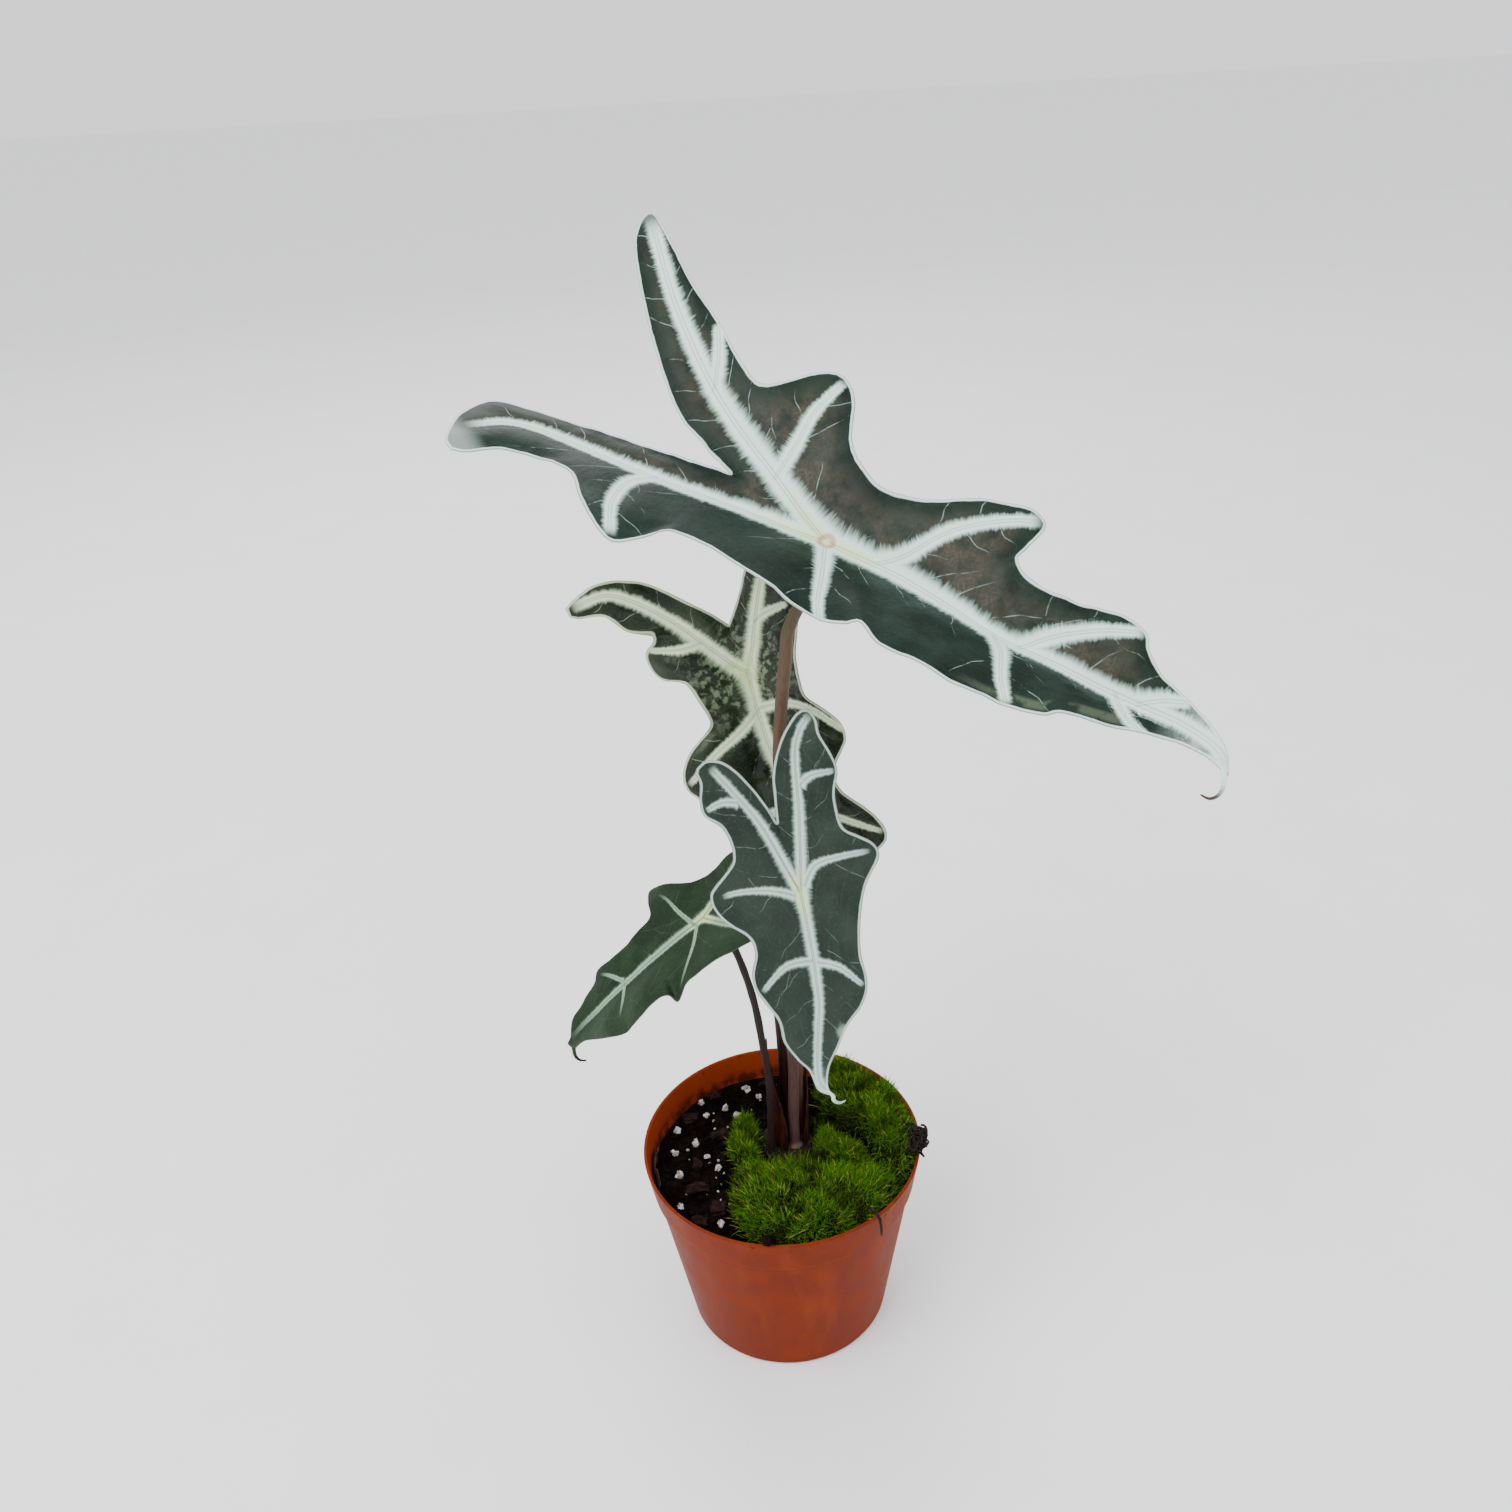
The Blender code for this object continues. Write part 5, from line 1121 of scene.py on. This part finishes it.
for leaf_name, leaf in LEAVES.items():
    face = leaf_axes(leaf)[2]
    joint = np.array(leaf["joint"])
    foot = leaf["petiole"][0]
    route = [(foot[0], foot[1], CROWN_LEVEL + 0.3)] + [(x, y, CROWN_LEVEL + z) for x, y, z in leaf["petiole"]]
    route += [tuple(joint - face * 9.1), tuple(joint - face * 0.6)]
    walk = np.linspace(0, 1, STALK_RINGS)
    path = catmull(route, walk * (len(route) - 1))
    low, middle, high = leaf["petiole_radii"]
    radii = np.interp(walk, (0, 0.2, 1), (low, middle, high)) * (1 + 0.45 * np.exp(-walk / 0.02))
    radii = radii + 0.9 * np.exp(-(1 - walk) / 0.018) + 0.06 * np.sin(walk * 61)
    angle = full_turn(STALK_SIDES)
    radii = radii[:, None] * (1 - 0.10 * np.exp(-((angle - 1.2) / 0.5) ** 2))
    points, faces = carried_ring(path, radii, STALK_SIDES, ends=((0, 0, 1), face))
    length = np.concatenate([[0], np.cumsum(np.linalg.norm(np.diff(path, axis=0), axis=1))])
    stalk = np.stack([np.repeat(walk, STALK_SIDES), np.tile(np.sin(angle) * 2, STALK_RINGS),
                      np.repeat(length, STALK_SIDES)], -1)
    stalk = np.vstack([stalk, [[0, 0, 0], [1, 0, length[-1]]]])
    make_piece("petiole_" + leaf_name + "_skin", points, faces, stalk_skin(leaf_name, STALKS[leaf_name]),
               "petiole_" + leaf_name, ["petiole_" + leaf_name], {"stalk": stalk})


# ---------------------------------------------------------------------------
# Old sheaths: the dried bases of shed leaves, dark red-brown parchment curled round the foot of the stalks.
# They are ribbed lengthwise and torn along the top.
# ---------------------------------------------------------------------------
STEM_AT = (4.0, 12.0)
SHEATH_RADII = (8.1, 8.5)
SHEATH_BENDS = 72
SHEATH_ROWS = 60
sheath_finish = Finish("old sheath", Roughness=0.5, Specular_IOR_Level=0.15)
ribbing = sheath_finish.noise(1.2, 4.0, stretch=(1, 1, 0.12))
sheath_colour = sheath_finish.mix(ribbing.rise(0.35, 0.68), (0.0130, 0.0030, 0.0020), (0.052, 0.0125, 0.0070))
papery = sheath_finish.noise(3.0, 3.0, stretch=(1, 1, 0.4)).rise(0.6, 0.75)
sheath_finish.feed("Base Color", sheath_finish.mix(papery * 0.5, sheath_colour, (0.060, 0.026, 0.018)))
sheath_finish.bump(ribbing, 0.35)


def thin_sheet(inner, outer, rows, columns):
    """Points and faces of two like grids back to back, joined round their edge."""
    quads = grid_quads(rows, columns, closed=False)
    count = rows * columns
    grid = np.arange(count).reshape(rows, columns)
    loop = np.concatenate([grid[:-1, 0], grid[-1, :-1], grid[:0:-1, -1], grid[0, :0:-1]])
    following = np.roll(loop, -1)
    rim = np.stack([loop, following, following + count, loop + count], -1)
    points = np.vstack([inner.reshape(-1, 3), outer.reshape(-1, 3)])
    return points, np.vstack([quads, quads[:, ::-1] + count, rim]).tolist()


def sheath(name, start, end, height, seed):
    """Curled wall: inner and outer grids over angle and height, joined round the edge; its top is torn."""
    share = np.linspace(-1, 1, SHEATH_BENDS + 1)
    angle = np.radians(np.linspace(start, end, SHEATH_BENDS + 1))
    torn = 1 - 0.10 * np.abs(lattice_noise(angle[:, None], 0.09, seed))
    torn -= 0.06 * np.abs(lattice_noise(angle[:, None], 0.03, seed + 1))
    top = height * (0.2 + 0.8 * (1 - np.abs(share)) ** 0.8) * torn
    climb = np.linspace(0, 1, SHEATH_ROWS + 1)
    z = CROWN_LEVEL + 0.3 + top[:, None] * climb
    a = np.repeat(angle[:, None], SHEATH_ROWS + 1, 1)
    where = np.stack([a.ravel() * 8, z.ravel() * 0.12], -1)
    wrinkle = 0.25 * lattice_noise(where, 0.6, seed + 2) + 0.35 * lattice_noise(where, 2.0, seed + 3)
    bulge = wrinkle.reshape(a.shape) * climb + 0.3 * climb * share[:, None] ** 2
    walls = [np.dstack([polar(radius + bulge, a, STEM_AT), z]) for radius in SHEATH_RADII]
    sheet = thin_sheet(*walls, SHEATH_BENDS + 1, SHEATH_ROWS + 1)
    make_piece(name + "_skin", *sheet, sheath_finish, "sheath", [name])


sheath("sheath_tall", 112, 262, 62.0, 51)
sheath("sheath_short", -42, 62, 48.0, 61)


# ---------------------------------------------------------------------------
# Moss: living cushions laid on the peat round the stalks, with no fixing of their own.
# Thousands of short soft shoots stand on a dark matted base.
# ---------------------------------------------------------------------------
# Each cushion: its height, where the crown sits, how many shoots, their length, how full the edge is, and its
# outline on the soil.
MOSS = {
    "front": dict(height=11.0, crown=(12, -32), shoots=7600, length=5.6, bulge=2.5, outline=[
        (-19, -10), (-22, -26), (-17, -41), (-8, -51), (6, -53.5), (22, -49.5), (37, -40), (47.5, -27.5),
        (44, -17.5), (30, -14), (14, -9.5), (0, -7.5), (-10, -7)]),
    "right": dict(height=15.0, crown=(43, 20), shoots=8400, length=5.8, bulge=7, outline=[
        (49.5, -24), (54.2, -14.5), (56.3, 0), (55.0, 12), (50.2, 25.4), (41, 38.6), (29.8, 47.8), (21, 48.5),
        (17.5, 39), (20, 27), (27, 15), (38, 5), (42, -7)]),
    "middle": dict(height=6.0, crown=(24, -1), shoots=2600, length=4.6, bulge=2, outline=[
        (13, -5.5), (24, -9), (37, -12), (37.5, -4), (29, 4.5), (22, 12), (17.5, 13), (16, 3)]),
    "left": dict(height=8.0, crown=(-17, 8), shoots=1800, length=4.4, bulge=2, outline=[
        (-11.5, 14), (-14, 21), (-19, 20), (-22, 8), (-20, -4), (-13, -5), (-11.2, 3)]),
}
MOSS_FOOT = SOIL_LEVEL - 0.8
TUFT_HEIGHT = 1.5
# how far up a shoot each of its rings stands and how thick it is there, as shares
SHOOT_RINGS = ((0, 1.0), (0.4, 0.85), (0.75, 0.5))
SHOOT_POINTS = 10
MAT_RINGS = 26
MAT_SEGMENTS = 130
mat_finish = two_tone("moss mat", 1.2, 4.0, (0.4, 0.65), (0.004, 0.005, 0.0015), (0.014, 0.022, 0.003), 0.5,
                      Roughness=0.95, Specular_IOR_Level=0.1)
shoot_finish = Finish("moss shoots", Roughness=0.6, Specular_IOR_Level=0.06)
shoot_random, shoot_climb, shoot_shade = shoot_finish.parts("shoot")
patch = shoot_finish.noise(8.0, 3.0).rise(0.3, 0.7)
shoot_colour = shoot_finish.mix(shoot_climb, (0.004, 0.011, 0.001), (0.098, 0.250, 0.009))
shoot_colour = shoot_finish.mix(patch * 0.5, shoot_colour, (0.024, 0.085, 0.003))
shoot_colour = shoot_finish.mix(shoot_random.rise(0.86, 0.95) * 0.7, shoot_colour, (0.42, 0.42, 0.06))
# Painted shade: the shade attribute pulls a shoot towards a dark olive.
shoot_finish.feed("Base Color", shoot_finish.mix(shoot_shade, shoot_colour, (0.022, 0.022, 0.004)))


def cushion(spec, share, turn):
    """Dome: rings shrink from the outline to the crown and rise by (1 - (1 - share)^bulge)^0.5."""
    outline = spec["outline"]
    rim = catmull([outline[-1], *outline, *outline[:3]], 1 + turn * len(outline))
    xy = rim + (np.array(spec["crown"], dtype=float) - rim) * share[:, None]
    z = MOSS_FOOT + spec["height"] * np.sqrt(np.clip(1 - (1 - share) ** spec["bulge"], 0, 1))
    return np.column_stack([xy, z])


def tufts(points):
    """How far the moss stands in a tuft or lies in a hollow, about 1 to -1."""
    return layered_noise(points[:, :2], 6.0, 2, 90)


def inside_pot(points):
    """The same points, those past the inner wall moved in to it; above the rim they may reach over it."""
    spread = np.hypot(points[:, 0], points[:, 1])
    walls = (wall_radius(SOIL_LEVEL, True) - 0.1, wall_radius(POT_TOP, True) - 0.1, RIM_RADIUS - 0.5)
    wall = np.interp(points[:, 2], (SOIL_LEVEL, POT_TOP, POT_TOP + 1.5), walls)
    inward = np.minimum(1, wall / spread)
    return points * np.column_stack([inward, inward, np.ones(len(points))])


def moss_shoots(name, base, lean, length, radius, sway, random, shade):
    """Closed three-sided tapered shoots that bend with height: three rings of three points and a tip."""
    angle = full_turn(3)
    ring = np.stack([np.cos(angle), np.sin(angle), 0 * angle], -1)
    lean = unit(lean)
    layers = []
    for climb, girth in SHOOT_RINGS:
        centre = base + lean * (length * climb)[:, None] + sway * (length * climb ** 2)[:, None]
        layers.append(centre[:, None] + ring * (radius * girth)[:, None, None])
    tip = base + lean * length[:, None] + sway * length[:, None]
    points = inside_pot(np.concatenate([*layers, tip[:, None]], axis=1).reshape(-1, 3))
    quads = np.array([(r * 3 + k, r * 3 + (k + 1) % 3, r * 3 + 3 + (k + 1) % 3, r * 3 + 3 + k)
                      for r in (0, 1) for k in range(3)])
    tris = np.vstack([quads[:, [0, 1, 2]], quads[:, [0, 2, 3]], [(6, 7, 9), (7, 8, 9), (8, 6, 9), (2, 1, 0)]])
    faces = tris[None] + (np.arange(len(base)) * SHOOT_POINTS)[:, None, None]
    climbs = np.append(np.repeat([climb for climb, _ in SHOOT_RINGS], 3), 1.0)
    marks = np.stack([np.repeat(random, SHOOT_POINTS), np.tile(climbs, len(base)),
                      np.repeat(shade, SHOOT_POINTS)], -1)
    make_piece(name, points, faces.reshape(-1, 3).tolist(), shoot_finish, "moss", [], {"shoot": marks})


def moss_piece(name, spec):
    """Matted dome and its shoots, darkened with painted shade in the hollows between tufts and near the
    stalks.
    """
    share = np.repeat(np.linspace(0, 1, MAT_RINGS + 1)[:-1], MAT_SEGMENTS)
    turn = np.tile(np.arange(MAT_SEGMENTS) / MAT_SEGMENTS, MAT_RINGS)
    dome = cushion(spec, share, turn)
    dome[:, 2] += TUFT_HEIGHT * tufts(dome) * np.clip(share * 8, 0, 1)
    poles = [(*spec["crown"], MOSS_FOOT), (*spec["crown"], MOSS_FOOT + spec["height"])]
    make_piece("moss_" + name + "_mat", np.vstack([dome, poles]), ring_faces(MAT_RINGS, MAT_SEGMENTS),
               mat_finish, "moss", ["moss_" + name])
    number = spec["shoots"]
    share = 1 - np.sqrt(draw.uniform(0.0, 1, number))
    base = cushion(spec, share, draw.uniform(0, 1, number))
    tuft = tufts(base)
    base[:, 2] += TUFT_HEIGHT * tuft * np.clip(share * 8, 0, 1) - 0.3
    outward = base[:, :2] - np.array(spec["crown"])
    outward /= np.linalg.norm(outward, axis=1)[:, None] + 1e-6
    steep = (1 - share) ** 2
    lean = np.column_stack([outward * (0.75 * steep)[:, None], 1.0 - 0.35 * steep])
    lean += draw.normal(0, 0.28, lean.shape) * (1, 1, 0.3)
    length = spec["length"] * draw.uniform(0.5, 1.1, number) * (1 + 0.4 * tuft)
    sway = draw.normal(0, 0.22, (number, 3)) - (0, 0, 0.12)
    radius = draw.uniform(0.16, 0.34, number)
    # Painted shade: shoots near the stalks and in the hollows between tufts are darkened as if shaded by the
    # leaves and tufts.
    near_stem = np.exp(-(np.linalg.norm(base[:, :2] - (8.0, -4.0), axis=1) / 11) ** 2)
    shade = np.clip(0.7 * np.clip(-1.8 * tuft, 0, 1) + 0.85 * near_stem, 0, 0.9)
    random = draw.uniform(size=number)
    moss_shoots("moss_" + name + "_shoots", base, lean, length, radius, sway, random, shade)


for cushion_name, cushion_spec in MOSS.items():
    moss_piece(cushion_name, cushion_spec)


# A skirt of shorter shoots fills the gap between the cushions and the stalks; painted shade makes them darker
# and browner there.
SKIRT = 1700
skirt_turn = draw.uniform(math.radians(-175), math.radians(48), SKIRT)
skirt_xy = polar(9.6 + 13.0 * np.sqrt(draw.uniform(0, 1, SKIRT)), skirt_turn, STEM_AT)
on_stump = np.linalg.norm(skirt_xy - STUMP_AT, axis=1) < STUMP_RADIUS
skirt_at = np.column_stack([skirt_xy, np.where(on_stump, STUMP_TOP, MOSS_FOOT)])
skirt_lean = draw.normal(0, 0.3, (SKIRT, 3)) * (1, 1, 0.2) + (0, 0, 1)
skirt_length = draw.uniform(1.4, 3.6, SKIRT)
skirt_radius = draw.uniform(0.16, 0.32, SKIRT)
skirt_sway = draw.normal(0, 0.25, (SKIRT, 3))
# Painted shade: each skirt shoot is darkened by a random amount.
skirt_shade = draw.uniform(0.25, 0.95, SKIRT)
moss_shoots("moss_skirt_shoots", skirt_at, skirt_lean, skirt_length, skirt_radius, skirt_sway,
            draw.uniform(size=SKIRT), skirt_shade)


# ---------------------------------------------------------------------------
# Litter: a clump of dried curly roots, a soil crumb and a fallen twig on the rim, and a leaf scrap by the
# wall. They have fallen where they lie; nothing fixes them.
# ---------------------------------------------------------------------------
ROOT_RINGS = 30
ROOT_SIDES = 6
root_finish = two_tone("dried root", 1.0, 4.0, (0.35, 0.7), (0.0045, 0.0032, 0.0026), (0.026, 0.017, 0.012),
                       0.3, Roughness=0.85, Specular_IOR_Level=0.15)


def curled_roots(low, high, number, seed):
    """Thin tubes that wander inside a box: each is a sum of three slow sine waves in each direction."""
    made = []
    dice = np.random.default_rng(seed)
    middle, half = 0.5 * (low + high), 0.5 * (high - low)
    t = np.linspace(0, 1, ROOT_RINGS)[:, None]
    for _ in range(number):
        phase, turns = dice.uniform(0, 6.28, (3, 3)), dice.uniform(0.4, 2.4, (3, 3))
        wander = sum(np.sin(phase[k] + 6.28 * turns[k] * t) / (k + 1) for k in range(3)) / 1.8
        radius = dice.uniform(0.3, 0.8)
        spot = middle + half * dice.uniform(-0.35, 0.35, 3)
        path = np.clip(spot + half * 0.75 * wander, low + radius, high - radius)
        made.append(carried_ring(path, radius * (1 - 0.5 * t[:, 0] ** 2), ROOT_SIDES))
    return made


clump = join_shapes(curled_roots(*box_mm("root_clump"), 34, 5))
make_piece("root_tangle", *clump, root_finish, "dried_root", ["root_clump"])
make_piece("rim_crumb", *lumpy("soil_crumb", 3, 0.3, 0.6, 3, 17), mix_finish, "dried_root", ["soil_crumb"])

TWIG_FOLD = 60.0
TWIG_RINGS = 60
TWIG_SIDES = 10
twig_out = polar(1.0, math.radians(-52))
twig_route = [(*(twig_out * (TWIG_FOLD + reach)), POT_TOP + rise)
              for reach, rise in ((-5, 2.2), (-1.5, 2.0), (1.2, 0.8), (2.3, -3), (2.6, -8))]
twig_walk = np.linspace(0, len(twig_route) - 1, TWIG_RINGS)
twig_radii = np.interp(twig_walk, range(len(twig_route)), (0.5, 0.7, 0.7, 0.6, 0.4))
twig_radii *= 1 + 0.15 * lattice_noise(np.arange(float(TWIG_RINGS))[:, None], 4.0, 3)
twig = carried_ring(catmull(twig_route, twig_walk), twig_radii, TWIG_SIDES)
make_piece("twig_bark", *twig, root_finish, "dried_root", ["twig"])

SCRAP_COLUMNS = 60
SCRAP_ROWS = 24
SCRAP_THICKNESS = 0.35
SCRAP_HEIGHT = 8.4
scrap_finish = two_tone("dead leaf", 2.0, 4.0, (0.35, 0.65), (0.020, 0.014, 0.005), (0.060, 0.050, 0.016),
                        0.3, Roughness=0.75, Specular_IOR_Level=0.2)
s, t = np.meshgrid(np.linspace(0, 1, SCRAP_COLUMNS), np.linspace(0, 1, SCRAP_ROWS), indexing="ij")
scrap_edge = 1 - 0.35 * np.abs(np.sin(7 * s + 1)) - 0.2 * (2 * s - 1) ** 2
scrap_radius = wall_radius(SOIL_LEVEL + 4, True) - 1.0 - 2.0 * (t - 0.3) ** 2 - 0.5 * np.sin(9 * s)
scrap_height = SOIL_LEVEL - 0.5 + SCRAP_HEIGHT * t * scrap_edge
scrap_walls = [np.dstack([polar(radius, np.radians(172 + 24 * s)), scrap_height])
               for radius in (scrap_radius - SCRAP_THICKNESS, scrap_radius)]
make_piece("leaf_scrap_skin", *thin_sheet(*scrap_walls, SCRAP_COLUMNS, SCRAP_ROWS), scrap_finish,
           "leaf_scrap", ["leaf_scrap"])
